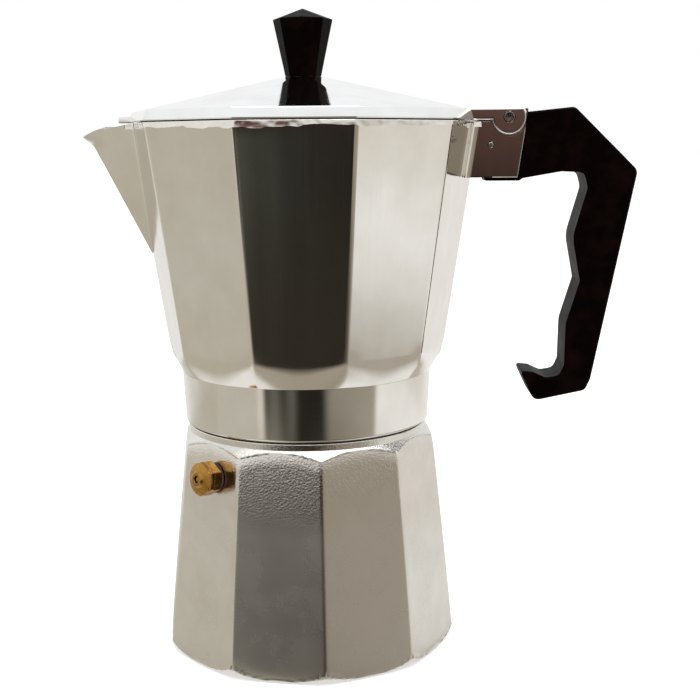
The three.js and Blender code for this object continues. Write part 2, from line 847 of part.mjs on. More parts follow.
function lid() {
  const skirtTop = lidBottom + lidSkirt;
  const shell = turned([
    [0, lidBottom],
    [lidCorner, lidBottom],
    [lidCorner - lidSkirtDraft, skirtTop],
    [lidFlatRadius, lidFlatZ],
    [0, lidFlatZ],
  ], sides);
  const inside = turned([
    [0, lidBottom - overcut],
    [lidCorner - lidRimWidth, lidBottom - overcut],
    [lidCorner - lidRimWidth, skirtTop - lidWall],
    [lidFlatRadius, lidFlatZ - lidWall],
    [0, lidFlatZ - lidWall],
  ], sides);
  const beakRoot = -(lidCorner - lidBeakHalfWidth);
  const beakEnd = -(lidCorner + lidBeakReach);
  const beakTop = lidBottom + lidBeakThickness;
  const beak = hull([lidBottom, beakTop].flatMap((z) => [
    [beakRoot, -lidBeakHalfWidth, z],
    [beakRoot, lidBeakHalfWidth, z],
    [beakEnd, -lidBeakTip, z],
    [beakEnd, lidBeakTip, z],
  ]));
  return shell
    .add(beak)
    .subtract(inside)
    .add(lidStrap())
    .subtract(cylinder(screwRadius + fitGap, lidBottom, knobBottom));
}

// The strap: two ears outside the bracket and a plate that joins them in front of the pin
function lidStrap() {
  const top = pinZ + cheekTop + plateSwing;
  const low = lidBottom;
  const start = pinX - strapLead;
  const fromAngle = Math.asin((low - pinZ) / lobeRadius);
  const toAngle = Math.asin((top - pinZ) / lobeRadius);
  const ear = new THREE.Shape();
  ear.moveTo(start, low);
  ear.absarc(pinX, pinZ, lobeRadius, Math.PI - fromAngle, 2 * Math.PI + toAngle);
  ear.lineTo(start, top);
  ear.closePath();
  const plateEnd = pinX - Math.hypot(cheekTop, cheekFront) - plateSwing;
  const outside = bracketHalfWidth + overcut;
  const ears = new THREE.ExtrudeGeometry(ear, {
    depth: strapThickness, bevelEnabled: false, curveSegments: smallSteps,
  });
  ears.rotateX(Math.PI / 2);
  const near = ears.clone().translate(0, strapThickness - bracketHalfWidth, 0);
  const far = ears.clone().translate(0, bracketHalfWidth, 0);
  return solidOf(near)
    .add(solidOf(far))
    .add(block(start, plateEnd, bracketHalfWidth, top - strapPlate, top))
    .subtract(crossCylinder(pinX, pinZ, pinHole, -outside, outside));
}

function knob() {
  const wideZ = knobBottom + knobHeight;
  const socketEnd = knobBottom + insertLength + fitGap;
  return turned([
    [0, knobBottom],
    [knobNeckRadius, knobBottom],
    [knobTopRadius, wideZ],
    [0, wideZ + knobPeak],
  ], knobSides).subtract(cylinder(insertRadius + fitGap, knobBottom - overcut, socketEnd));
}

function knobInsert() {
  const end = knobBottom + insertLength;
  return cylinder(insertRadius, knobBottom, end)
    .subtract(cylinder(screwRadius + fitGap, knobBottom - overcut, end - overlap));
}

const knobWasherTop = lidFlatZ - lidWall - fitGap;
const screwHeadTop = knobWasherTop - knobWasherThickness - fitGap;

function knobWasher() {
  const low = knobWasherTop - knobWasherThickness;
  return ring(screwRadius + fitGap, knobWasherRadius, low, knobWasherTop, smallSteps);
}

function knobScrew() {
  const low = screwHeadTop - screwHeadHeight;
  const across = screwHeadRadius + overcut;
  return cylinder(screwHeadRadius, low, screwHeadTop)
    .add(cylinder(screwRadius, screwHeadTop - overlap, screwHeadTop + screwLength))
    .subtract(block(-across, across, screwSlotWidth / 2, low - overcut, low + screwSlotDepth));
}

function hingePin() {
  const half = bracketHalfWidth + pinProud;
  return crossCylinder(pinX, pinZ, pinRadius, -half, half)
    .subtract(crossCylinder(pinX, pinZ, pinRadius - pinWall, -half - overcut, half + overcut));
}

function handle() {
  const fromPin = ([x, z, radius]) => [pinX + x, pinZ + z, radius];
  const frontX = (z) => rearX(pinZ + z) + fitGap;
  const body = roundedOutline([
    [frontX(handleTop), pinZ + handleTop, 0],
    ...[...handleOuter, ...handleGrip].map(fromPin),
    [frontX(handleFoot), pinZ + handleFoot, 0],
  ]);
  const front = pinX - slotDepth + fitGap;
  const step = pinX - cheekFront;
  const low = bracketBottom - tongueTab;
  const backX = rearX(rimZ) + 2 * overlap;
  const tongue = new THREE.Shape([
    new THREE.Vector2(front, low),
    new THREE.Vector2(backX, low),
    new THREE.Vector2(backX, pinZ + handleTop - overlap),
    new THREE.Vector2(rearX(pinZ), pinZ + tongueTop),
    new THREE.Vector2(step, pinZ + tongueTop),
    new THREE.Vector2(step, rimZ - fitGap),
    new THREE.Vector2(front, rimZ - fitGap),
  ]);
  const half = tongueHalfWidth + overcut;
  return slab(body, handleHalfWidth)
    .add(slab(tongue, tongueHalfWidth))
    .subtract(crossCylinder(pinX, pinZ, pinHole, -half, half))
    .subtract(crossCylinder(crossPinX, crossPinZ, crossPinRadius + fitGap, -half, half));
}

function handlePin() {
  const half = bracketHalfWidth + pinProud;
  return crossCylinder(crossPinX, crossPinZ, crossPinRadius, -half, half);
}

const castAluminium = () => finish(0xc9c6c0, 0.28, 1);
const pressedAluminium = () => finish(0xd0cfcb, 0.4, 1);
const brass = () => finish(0xb98f45, 0.3, 1);
const steel = () => finish(0xb4b4b2, 0.35, 1);
const phenolic = () => finish(0x1a1210, 0.35, 0);
const rubber = () => finish(0xd9d4c8, 0.8, 0);
const fibre = () => finish(0x7d2f24, 0.9, 0);

place("boiler", boiler(), castAluminium());
place("valve_washer", valveWasher(), fibre(), valve);
place("valve_body", valveBody(), brass(), valve);
place("valve_cap", valveCap(), brass(), valve);
place("valve_poppet", valvePoppet(), brass(), valve);
place("valve_spring", valveSpring(), steel(), valve);
place("funnel_basket", funnelBasket(), pressedAluminium());
place("funnel_tube", funnelTube(), pressedAluminium());
place("funnel_screen", funnelScreen(), pressedAluminium());
place("filter_plate", filterPlate(), pressedAluminium());
place("gasket", gasket(), rubber());
place("jug", jug(), castAluminium());
place("chimney", chimney(), castAluminium());
place("lid", lid(), castAluminium());
place("knob", knob(), phenolic());
place("knob_insert", knobInsert(), brass());
place("knob_washer", knobWasher(), steel());
place("knob_screw", knobScrew(), steel());
place("hinge_pin", hingePin(), steel());
place("handle", handle(), phenolic());
place("handle_pin", handlePin(), steel());

export default group;
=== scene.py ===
# A ten-sided stovetop coffee maker. Sizes are in millimetres, and so is every mesh while it is
# shaped. finishPiece turns it to metres and puts it on its body.
import json
import math

import bmesh
import bpy
from mathutils import Matrix, Quaternion, Vector


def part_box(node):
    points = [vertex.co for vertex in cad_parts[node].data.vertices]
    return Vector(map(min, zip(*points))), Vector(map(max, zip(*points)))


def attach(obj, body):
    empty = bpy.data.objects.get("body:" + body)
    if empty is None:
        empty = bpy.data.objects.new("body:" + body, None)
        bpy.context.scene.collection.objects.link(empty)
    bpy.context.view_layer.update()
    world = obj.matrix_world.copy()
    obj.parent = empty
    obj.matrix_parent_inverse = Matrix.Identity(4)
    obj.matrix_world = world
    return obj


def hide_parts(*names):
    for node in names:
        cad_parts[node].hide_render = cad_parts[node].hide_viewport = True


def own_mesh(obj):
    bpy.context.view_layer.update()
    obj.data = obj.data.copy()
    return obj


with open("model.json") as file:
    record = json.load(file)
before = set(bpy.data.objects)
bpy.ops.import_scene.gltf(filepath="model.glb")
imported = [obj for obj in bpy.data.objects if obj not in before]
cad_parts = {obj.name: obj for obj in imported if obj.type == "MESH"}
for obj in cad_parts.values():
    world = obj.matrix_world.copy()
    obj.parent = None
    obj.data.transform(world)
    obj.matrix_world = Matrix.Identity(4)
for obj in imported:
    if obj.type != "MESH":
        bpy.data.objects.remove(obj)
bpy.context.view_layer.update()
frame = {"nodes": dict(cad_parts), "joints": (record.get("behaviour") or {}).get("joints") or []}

millimetre = 0.001


def middleOf(node):
    low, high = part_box(node)
    return (low + high) / (2 * millimetre)


hinge = middleOf("hinge_pin")
crossPin = middleOf("handle_pin")

pot = {
    "sides": 10,
    "rim": 206.7,  # top of the jug's wall
    "rimCorner": 68.58,  # corner of the decagon there
    "jugTaper": 0.1535,
    "neckTop": 101.5,
    "gap": 0.3,
}
halfFacet = math.pi / pot["sides"]


# Shaping: outlines, turned shapes, facets and cuts

cornerShare = 0.45  # the most of a side that one corner's rounding takes
mergeDistance = 0.0005
onAxis = 0.001
leastRound = 0.7


def softCorners(corners, segments=6, closed=True):
    # Each corner is x, y, its rounding and perhaps a mark, which goes along with its points
    points = []
    last = len(corners) - 1
    for i, (x, y, rounding, *marks) in enumerate(corners):
        mark = marks[0] if marks else None
        here = Vector((x, y))
        if not rounding or (not closed and i in (0, last)):
            points.append((x, y, mark))
            continue
        before = Vector(corners[i - 1][:2]) - here
        after = Vector(corners[(i + 1) % len(corners)][:2]) - here
        reach = rounding / math.tan(before.angle(after) / 2)
        reach = min(reach, cornerShare * before.length, cornerShare * after.length)
        start = here + before.normalized() * reach
        end = here + after.normalized() * reach
        for k in range(segments + 1):
            t = k / segments
            spot = start.lerp(here, t).lerp(here.lerp(end, t), t)
            points.append((spot.x, spot.y, mark))
    return points


def levelsAlong(points, fine, fineStep, coarseStep):
    # Adds points to the stretches that facets are ground on
    levels = [points[0]]
    for (r0, z0, mark0), (r1, z1, mark1) in zip(points, points[1:]):
        mark = mark0 if mark1 is None else mark1
        count = 1
        if mark is not None:
            inBand = any(low < z < high for low, high in fine for z in (z0, (z0 + z1) / 2, z1))
            length = math.hypot(r1 - r0, z1 - z0)
            count = max(1, math.ceil(length / (fineStep if inBand else coarseStep)))
        for k in range(1, count):
            t = k / count
            levels.append((r0 + (r1 - r0) * t, z0 + (z1 - z0) * t, mark))
        levels.append((r1, z1, mark1))
    return levels


def turnedShape(corners, steps=120, closed=True, segments=6, fine=(), fineStep=0.45, coarseStep=8):
    # Turns an outline of radius and height. Its marked points are ground to facets later, as far
    # below their surface as the mark says.
    points = softCorners(corners, segments, closed)
    if closed:
        points.append(points[0])
    levels = levelsAlong(points, fine, fineStep, coarseStep)
    if closed:
        levels.pop()
    shape = bmesh.new()
    inset = shape.verts.layers.float.new("inset")
    profile = []
    for r, z, mark in levels:
        vert = shape.verts.new((r, 0, z))
        vert[inset] = -1 if mark is None else mark
        profile.append(vert)
    edges = [shape.edges.new(pair) for pair in zip(profile, profile[1:])]
    if closed:
        edges.append(shape.edges.new((profile[-1], profile[0])))
    bmesh.ops.spin(shape, geom=profile + edges, cent=(0, 0, 0), axis=(0, 0, 1), dvec=(0, 0, 0),
                   angle=math.tau, steps=steps, use_merge=True, use_duplicate=False)
    bmesh.ops.remove_doubles(shape, verts=shape.verts, dist=mergeDistance)
    bmesh.ops.recalc_face_normals(shape, faces=shape.faces)
    return shape


def plainRing(inside, outside, low, high, roundings, steps=120):
    corners = [(inside, low), (outside, low), (outside, high), (inside, high)]
    return turnedShape([(*corner, rounding) for corner, rounding in zip(corners, roundings)], steps)


def facetRadius(angle, flat, sides, rounding):
    # Distance from the axis to a polygon with rounded corners, one of them at angle 0
    half = math.pi / sides
    off = abs((angle + half) % (2 * half) - half)
    centre = (flat - rounding) / math.cos(half)
    tangent = math.atan2(rounding * math.sin(half), centre + rounding * math.cos(half))
    if off < tangent:
        return centre * math.cos(off) + math.sqrt(rounding ** 2 - (centre * math.sin(off)) ** 2)
    return flat / math.cos(half - off)


def softMin(a, b, blend):
    share = max(blend - abs(a - b), 0) / blend
    return min(a, b) - share * share * blend / 4


def grindFacets(shape, cut):
    inset = shape.verts.layers.float["inset"]
    sides = cut["sides"]
    half = math.pi / sides
    turn = math.radians(cut.get("turn", 0))
    for vert in shape.verts:
        radius = math.hypot(vert.co.x, vert.co.y)
        if radius < onAxis:
            continue
        angle = math.atan2(vert.co.y, vert.co.x)
        angle -= cut["crowding"] / sides * math.sin(sides * angle)
        if vert[inset] >= 0 and "corner" in cut:
            flat = (cut["corner"] + cut["taper"] * (vert.co.z - cut["cornerAt"])) * math.cos(half)
            rounding = max(cut["edgeRound"] - vert[inset], leastRound)
            ground = facetRadius(angle, flat - vert[inset], sides, rounding)
            if "lipReach" in cut and radius > ground:
                ground -= cut["lipDepth"] * max(0, 1 - (radius - ground) / cut["lipReach"]) ** 2
            radius = softMin(radius, ground, cut["blend"])
        elif vert[inset] >= 0:
            rounding = min(cut["edgeRound"], radius / 3)
            radius = facetRadius(angle, radius * math.cos(half), sides, rounding)
        vert.co.x = radius * math.cos(angle + turn)
        vert.co.y = radius * math.sin(angle + turn)
    bmesh.ops.recalc_face_normals(shape, faces=shape.faces)


def faceShape(points):
    shape = bmesh.new()
    shape.faces.new([shape.verts.new(point) for point in points])
    return shape


def extruded(shape, offset):
    made = bmesh.ops.extrude_face_region(shape, geom=shape.faces[:])
    moved = [item for item in made["geom"] if isinstance(item, bmesh.types.BMVert)]
    bmesh.ops.translate(shape, verts=moved, vec=offset)
    bmesh.ops.recalc_face_normals(shape, faces=shape.faces)
    return shape


def slabShape(outline, fromY, toY, segments=6):
    # An outline of x, z and rounding, given a width along Y
    corners = [(x, z, rounding) for x, z, rounding in outline]
    points = [(x, fromY, z) for x, z, mark in softCorners(corners, segments)]
    return extruded(faceShape(points), (0, toY - fromY, 0))


def rodShape(start, end, radius, segments=48):
    start, end = Vector(start), Vector(end)
    turn = (end - start).to_track_quat("Z", "Y").to_matrix().to_4x4()
    shape = bmesh.new()
    bmesh.ops.create_cone(shape, cap_ends=True, segments=segments, radius1=radius, radius2=radius,
                          depth=(end - start).length, matrix=Matrix.Translation((start + end) / 2) @ turn)
    return shape


def softenEdges(shape, width, segments=2, chosen=None, leastAngle=25, clamp=True):
    edges = [edge for edge in shape.edges
             if len(edge.link_faces) == 2 and edge.calc_face_angle() > math.radians(leastAngle)
             and (chosen is None or chosen(edge))]
    bmesh.ops.bevel(shape, geom=edges, offset=width, segments=segments, profile=0.5,
                    affect="EDGES", material=-1, clamp_overlap=clamp)
    return shape


def workpiece(shape):
    mesh = bpy.data.meshes.new("workpiece")
    shape.to_mesh(mesh)
    shape.free()
    piece = bpy.data.objects.new("workpiece", mesh)
    bpy.context.scene.collection.objects.link(piece)
    return piece


def carved(shape, joins=(), cuts=(), lateJoins=()):
    # Adds the first shapes, takes the next ones away, and adds the last where they cut
    base = workpiece(shape)
    tools = []
    steps = [("UNION", tool) for tool in joins] + [("DIFFERENCE", tool) for tool in cuts]
    for operation, tool in steps + [("UNION", tool) for tool in lateJoins]:
        tools.append(workpiece(tool))
        cut = base.modifiers.new("cut", "BOOLEAN")
        cut.operation = operation
        cut.solver = "MANIFOLD"
        cut.object = tools[-1]
    result = bmesh.new()
    result.from_object(base, bpy.context.evaluated_depsgraph_get())
    for piece in [base, *tools]:
        mesh = piece.data
        bpy.data.objects.remove(piece)
        bpy.data.meshes.remove(mesh)
    return result


def finishPiece(shape, name, body, finish, nodes, sharpAngle=30, matrix=None):
    if matrix:
        bmesh.ops.transform(shape, matrix=matrix, verts=shape.verts)
    bmesh.ops.scale(shape, vec=(millimetre,) * 3, verts=shape.verts)
    mesh = bpy.data.meshes.new(name)
    shape.to_mesh(mesh)
    shape.free()
    mesh.shade_smooth()
    mesh.set_sharp_from_angle(angle=math.radians(sharpAngle))
    mesh.materials.append(finish)
    piece = bpy.data.objects.new(name, mesh)
    bpy.context.scene.collection.objects.link(piece)
    leaning = piece.modifiers.new("leaning", "WEIGHTED_NORMAL")
    leaning.keep_sharp = True
    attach(piece, body)
    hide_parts(*nodes)
    print("made", name, len(mesh.polygons), "faces")
    return piece


# Finishes

def linear(hexColour):
    channels = [int(hexColour[i:i + 2], 16) / 255 for i in (1, 3, 5)]
    return [c / 12.92 if c <= 0.04045 else ((c + 0.055) / 1.055) ** 2.4 for c in channels] + [1]


def addNode(tree, kind, links=None, **settings):
    node = tree.nodes.new(kind)
    for name, value in settings.items():
        setattr(node, name, value)
    for name, value in (links or {}).items():
        if isinstance(value, bpy.types.NodeSocket):
            tree.links.new(value, node.inputs[name])
        else:
            node.inputs[name].default_value = value
    return node


def newFinish(name, **sockets):
    material = bpy.data.materials.new(name)
    material.use_nodes = True
    tree = material.node_tree
    shader = tree.nodes["Principled BSDF"]
    for socket, value in sockets.items():
        shader.inputs[socket].default_value = value
    place = addNode(tree, "ShaderNodeTexCoord").outputs["Object"]
    return material, tree, shader, place


def noiseOf(tree, place, size, detail=3.0, roughness=0.55):
    # size is the length in millimetres of one wave along X, Y and Z
    scaled = addNode(tree, "ShaderNodeMapping", {
        "Vector": place, "Scale": tuple(1 / (millimetre * s) for s in size)})
    return addNode(tree, "ShaderNodeTexNoise", {
        "Vector": scaled.outputs[0], "Scale": 1.0, "Detail": detail, "Roughness": roughness}).outputs["Fac"]


def ranged(tree, value, low, high, newLow, newHigh):
    return addNode(tree, "ShaderNodeMapRange", {
        "Value": value, "From Min": low, "From Max": high, "To Min": newLow, "To Max": newHigh},
        clamp=True).outputs["Result"]


def blended(tree, factor, a, b):
    mix = addNode(tree, "ShaderNodeMix", data_type="RGBA")
    for index, value in ((0, factor), (6, a), (7, b)):
        if isinstance(value, bpy.types.NodeSocket):
            tree.links.new(value, mix.inputs[index])
        else:
            mix.inputs[index].default_value = value
    return mix.outputs[2]


def math2(tree, operation, a, b):
    return addNode(tree, "ShaderNodeMath", {0: a, 1: b}, operation=operation).outputs[0]


def roundTheAxis(tree, place, radius):
    # Coordinates that run round the pot's axis, up it and out from it, in metres
    axes = addNode(tree, "ShaderNodeSeparateXYZ", {"Vector": place})
    angle = math2(tree, "ARCTAN2", axes.outputs["Y"], axes.outputs["X"])
    run = math2(tree, "MULTIPLY", angle, radius * millimetre)
    return addNode(tree, "ShaderNodeCombineXYZ", {
        "X": run, "Y": axes.outputs["Z"], "Z": 0.0}).outputs[0], axes.outputs["Z"]


noiseLow, noiseHigh = 0.3, 0.7  # most of a noise's values lie between these


def spreadOver(tree, noise, low, high):
    return ranged(tree, noise, noiseLow, noiseHigh, low, high)


def tinted(tree, shader, share, bright, dull):
    tree.links.new(blended(tree, share, linear(bright), linear(dull)), shader.inputs["Base Color"])


def roughened(tree, shader, noise, settings):
    spread = spreadOver(tree, noise, settings["smooth"], settings["rough"])
    tree.links.new(spread, shader.inputs["Roughness"])


def embossed(tree, shader, height, strength=1.0, distance=1.0):
    bump = addNode(tree, "ShaderNodeBump", {"Strength": strength, "Distance": distance, "Height": height})
    tree.links.new(bump.outputs[0], shader.inputs["Normal"])


def added(tree, first, *others):
    for other in others:
        first = math2(tree, "ADD", first, other)
    return first


def scaledTo(tree, value, factor):
    return math2(tree, "MULTIPLY", value, factor)


jugFinish = {
    "bright": "#e6e3dd", "dull": "#dfdbd3", "cloud": 14, "smooth": 0.05, "rough": 0.11, "lean": 0.3,
    "around": 60,  # the radius at which lengths round the pot are true
    "lineWidth": 0.35, "lineLength": 55, "lineDepth": 0.0005,  # polishing lines that run up the facets
    "lineDetail": 4.0, "lineHarshness": 0.6, "collarFade": 0.3,
    "wave": 16, "waveRise": 128, "waveDepth": 0.15,  # slow waves left across the facets
    "speck": 0.3, "speckDepth": 0.002, "speckRough": 0.04,
    "stripFoot": 203.6, "stripWander": 1.6, "stripWave": 9,  # hand-dressed strip under the rim
    "stripSlope": 0.25, "cornerFade": 0.2,
}


def polishedCasting(settings):
    # Cast aluminium, belt-polished up the facets: sharp but streaked reflections
    material, tree, shader, place = newFinish("polishedAluminium", Metallic=1.0, Anisotropic=settings["lean"])
    run, height = roundTheAxis(tree, place, settings["around"])
    width, length = settings["lineWidth"], settings["lineLength"]
    detail, harshness = settings["lineDetail"], settings["lineHarshness"]
    lines = noiseOf(tree, run, (width, length, 1), detail, harshness)
    rings = noiseOf(tree, run, (length, width, 1), detail, harshness)
    collarTop, fade = jug["collarTop"] * millimetre, settings["collarFade"] * millimetre
    isCollar = ranged(tree, height, collarTop - fade, collarTop + fade, 1.0, 0.0)
    marks = blended(tree, isCollar, lines, rings)
    cloud = noiseOf(tree, place, (settings["cloud"],) * 3)
    speck = noiseOf(tree, place, (settings["speck"],) * 3, 2.0)
    tinted(tree, shader, spreadOver(tree, cloud, 0.0, 1.0), settings["bright"], settings["dull"])
    spread = added(tree, spreadOver(tree, marks, settings["smooth"], settings["rough"]),
                   spreadOver(tree, speck, 0.0, settings["speckRough"]))
    tree.links.new(spread, shader.inputs["Roughness"])
    wave = noiseOf(tree, run, (settings["wave"], settings["waveRise"], 1), 1.0)
    wander = noiseOf(tree, run, (settings["stripWave"], settings["stripWave"], 1), 2.0)
    side = addNode(tree, "ShaderNodeSeparateXYZ", {"Vector": place}).outputs["X"]
    corner = pot["rimCorner"] * millimetre
    onFacet = ranged(tree, math2(tree, "ABSOLUTE", side, 0.0), corner - settings["cornerFade"] * millimetre,
                     corner, 1.0, 0.0)
    stripFoot = spreadOver(tree, wander, settings["stripFoot"] * millimetre,
                           (settings["stripFoot"] + settings["stripWander"]) * millimetre)
    above = math2(tree, "MAXIMUM", math2(tree, "SUBTRACT", height, stripFoot), 0.0)
    embossed(tree, shader, added(
        tree, scaledTo(tree, scaledTo(tree, above, onFacet), -settings["stripSlope"]),
        scaledTo(tree, wave, settings["waveDepth"] * millimetre),
        scaledTo(tree, marks, settings["lineDepth"] * millimetre),
        scaledTo(tree, speck, settings["speckDepth"] * millimetre)))
    around = addNode(tree, "ShaderNodeTangent", direction_type="RADIAL", axis="Z")
    tree.links.new(around.outputs[0], shader.inputs["Tangent"])
    return material


boilerFinish = {
    "bright": "#e4e1db", "dull": "#d9d5cd", "cloud": 18, "cloudDetail": 4.0, "cloudHarshness": 0.6,
    "around": 58,  # the radius at which lengths round the pot are true
    "smooth": 0.24, "rough": 0.3, "glinting": 0.12,
    "grain": 0.75, "grainHarshness": 0.65,
    "grainTop": 0.14, "grainLow": 0.0,  # deep grain by the shoulder, dressed away lower down
    "fadeTop": 80, "fadeLow": 55,
    "scratchLength": 30, "scratchWidth": 1.0, "scratchDepth": 0.0008,
}


def satinCasting(settings):
    # Cast aluminium, tumbled to a grainy satin, with faint scratches across the facets
    material, tree, shader, place = newFinish("satinAluminium", Metallic=1.0)
    run, height = roundTheAxis(tree, place, settings["around"])
    detail, harshness = settings["cloudDetail"], settings["cloudHarshness"]
    grain = noiseOf(tree, place, (settings["grain"],) * 3, 2.0, settings["grainHarshness"])
    cloud = noiseOf(tree, place, (settings["cloud"],) * 3, detail, harshness)
    scratches = noiseOf(tree, run, (settings["scratchLength"], settings["scratchWidth"], 1), detail,
                        harshness)
    tinted(tree, shader, spreadOver(tree, cloud, 0.0, 1.0), settings["bright"], settings["dull"])
    foot, top = settings["fadeLow"] * millimetre, settings["fadeTop"] * millimetre
    keep = ranged(tree, height, foot, top, 1.0, settings["glinting"] / settings["smooth"])
    spread = scaledTo(tree, spreadOver(tree, cloud, settings["smooth"], settings["rough"]), keep)
    tree.links.new(spread, shader.inputs["Roughness"])
    depth = ranged(tree, height, foot, top, settings["grainLow"] * millimetre,
                   settings["grainTop"] * millimetre)
    embossed(tree, shader, added(tree, scaledTo(tree, grain, depth),
                                 scaledTo(tree, scratches, settings["scratchDepth"] * millimetre)))
    return material


reliefDepth = 0.02 * millimetre


def plainMetal(name, settings):
    # Machined, pressed or drawn metal with turning marks of a stated width
    material, tree, shader, place = newFinish(name, Metallic=1.0)
    marks = noiseOf(tree, place, settings["marks"])
    cloud = noiseOf(tree, place, (settings["cloud"],) * 3)
    tinted(tree, shader, spreadOver(tree, cloud, 0.0, 1.0), settings["bright"], settings["dull"])
    roughened(tree, shader, marks, settings)
    embossed(tree, shader, marks, settings["relief"], reliefDepth)
    return material


lidFinish = {"bright": "#f7f7f6", "dull": "#e9e8e6", "marks": (1.5, 1.5, 1.5), "cloud": 20,
             "smooth": 0.05, "rough": 0.1, "relief": 0.1}
pressedFinish = {"bright": "#efeeeb", "dull": "#d8d6d1", "marks": (9, 9, 0.3), "cloud": 15,
                 "smooth": 0.22, "rough": 0.36, "relief": 0.3}
brassFinish = {"bright": "#b98b46", "dull": "#926a31", "marks": (0.6, 0.6, 0.25), "cloud": 3,
               "smooth": 0.16, "rough": 0.3, "relief": 0.3}
steelFinish = {"bright": "#cfcfcc", "dull": "#a9a8a4", "marks": (0.3, 3, 0.3), "cloud": 2,
               "smooth": 0.2, "rough": 0.34, "relief": 0.3}
phenolicFinish = {"black": "#070303", "brown": "#100806", "grain": 0.25, "cloud": 9, "cloudDetail": 4.0,
                  "cloudHarshness": 0.6, "blackTo": 0.45, "brownFrom": 0.75, "smooth": 0.34, "rough": 0.44,
                  "relief": 0.1, "shine": 0.018, "glaze": "#d9b79a"}
softFinish = {"speckle": 0.4, "brightTo": 0.35, "dullFrom": 0.65, "smooth": 0.6, "rough": 0.8, "ior": 1.5}


def phenolicMoulding(settings):
    # Moulded phenolic resin: black-brown, half glossy, with a faint orange-peel skin
    material, tree, shader, place = newFinish("mouldedPhenolic")
    shader.inputs["Specular IOR Level"].default_value = settings["shine"]
    shader.inputs["Specular Tint"].default_value = linear(settings["glaze"])
    grain = noiseOf(tree, place, (settings["grain"],) * 3, 2.0)
    cloud = noiseOf(tree, place, (settings["cloud"],) * 3, settings["cloudDetail"],
                    settings["cloudHarshness"])
    share = ranged(tree, cloud, settings["blackTo"], settings["brownFrom"], 0.0, 1.0)
    tinted(tree, shader, share, settings["black"], settings["brown"])
    roughened(tree, shader, cloud, settings)
    embossed(tree, shader, grain, settings["relief"], reliefDepth)
    return material


def softSealing(name, bright, dull, settings=softFinish):
    # Moulded rubber or pressed fibre: matt, with a fine speckle
    material, tree, shader, place = newFinish(name, IOR=settings["ior"])
    speckle = noiseOf(tree, place, (settings["speckle"],) * 3)
    share = ranged(tree, speckle, settings["brightTo"], settings["dullFrom"], 0.0, 1.0)
    tinted(tree, shader, share, bright, dull)
    roughened(tree, shader, speckle, settings)
    return material


satinAluminium = satinCasting(boilerFinish)
brightAluminium = plainMetal("brightAluminium", lidFinish)
pressedAluminium = plainMetal("pressedAluminium", pressedFinish)
machinedBrass = plainMetal("machinedBrass", brassFinish)
drawnSteel = plainMetal("drawnSteel", steelFinish)
mouldedPhenolic = phenolicMoulding(phenolicFinish)
whiteRubber = softSealing("whiteRubber", "#e2ded3", "#cbc5b6")
redFibre = softSealing("redFibre", "#5a3626", "#43281c")
print("finishes ready")


# Boiler

thread = {"pitch": 3, "turns": 1.75, "depth": 1.2, "halfBase": 1.1, "halfCrest": 0.4, "root": 0.6,
          "stepsPerTurn": 90, "drop": 2}


def threadRidge(wall, outward, top):
    # A ridge wound down the wall with a right-hand lead
    crest = wall + outward * thread["depth"]
    root = wall - outward * thread["root"]
    middle = top - thread["halfBase"]
    section = [(root, -thread["halfBase"]), (wall, -thread["halfBase"]), (crest, -thread["halfCrest"]),
               (crest, thread["halfCrest"]), (wall, thread["halfBase"]), (root, thread["halfBase"])]
    shape = faceShape([(r, 0, middle + z) for r, z in section])
    steps = round(thread["turns"] * thread["stepsPerTurn"])
    drop = -thread["pitch"] * thread["turns"] / steps
    bmesh.ops.spin(shape, geom=shape.verts[:] + shape.edges[:] + shape.faces[:], cent=(0, 0, 0),
                   axis=(0, 0, 1), dvec=(0, 0, drop), angle=-math.tau * thread["turns"], steps=steps,
                   use_merge=False, use_duplicate=False)
    bmesh.ops.recalc_face_normals(shape, faces=shape.faces)
    return shape


boiler = {
    "sides": 10, "turn": -9.41, "corner": 50.9, "cornerAt": 86.8, "taper": -0.1083, "steps": 360,
    "edgeRound": 3.4, "blend": 0.6, "lipReach": 4.5, "lipDepth": 0.45, "crowding": 0.72,
    "baseRound": 5, "baseRoundHeight": 9, "baseSteps": 12, "baseCorner": 60.3,
    "rest": 9, "recess": 0.5, "recessSlope": 1.5,  # the ring that it stands on and the hollow inside
    "ring": 47.7, "ringTop": 89.4, "neck": 43.2,
    "bore": 38.7, "boreFoot": 83.6, "hollowEdge": (45.2, 77.1), "floorEdge": 53.7, "floor": 4,
    "arcs": (80.5, 88), "coarseStep": 7,
    "socket": 4.9, "socketStart": -12, "socketEnd": 8,
}


def boilerPot():
    size = boiler
    foot = size["baseCorner"] - size["baseRound"]
    rest = foot - size["rest"]
    corners = [(0, size["recess"], 0), (rest - size["recessSlope"], size["recess"], 0.4), (rest, 0, 0.4),
               (foot - 1, 0, 0, 0)]
    for k in range(size["baseSteps"] + 1):
        angle = math.pi / 2 * (k / size["baseSteps"] - 1)
        corners.append((foot + size["baseRound"] * math.cos(angle),
                        size["baseRoundHeight"] * (1 + math.sin(angle)), 0, 0))
    shoulderFoot = size["cornerAt"] - (size["baseCorner"] - size["ring"])
    corners += [
        (size["baseCorner"], shoulderFoot, 0, 0),
        (size["ring"], size["cornerAt"], 0.4),
        (size["ring"], size["ringTop"], 0.5),
        (size["neck"], size["ringTop"], 0.3),
        (size["neck"], pot["neckTop"], 0.9),
        (size["bore"], pot["neckTop"], 0.5),
        (size["bore"], size["boreFoot"], 2),
        (*size["hollowEdge"], 3),
        (size["floorEdge"], size["floor"], 6),
        (0, size["floor"], 0),
    ]
    shape = turnedShape(corners, size["steps"], closed=False, fine=(size["arcs"],),
                        coarseStep=size["coarseStep"])
    grindFacets(shape, size)
    ridge = threadRidge(size["neck"], 1, pot["neckTop"] - thread["drop"])
    socket = rodShape(valveFrame @ Vector((0, 0, size["socketStart"])),
                      valveFrame @ Vector((0, 0, size["socketEnd"])), size["socket"])
    return carved(shape, [ridge], [socket])


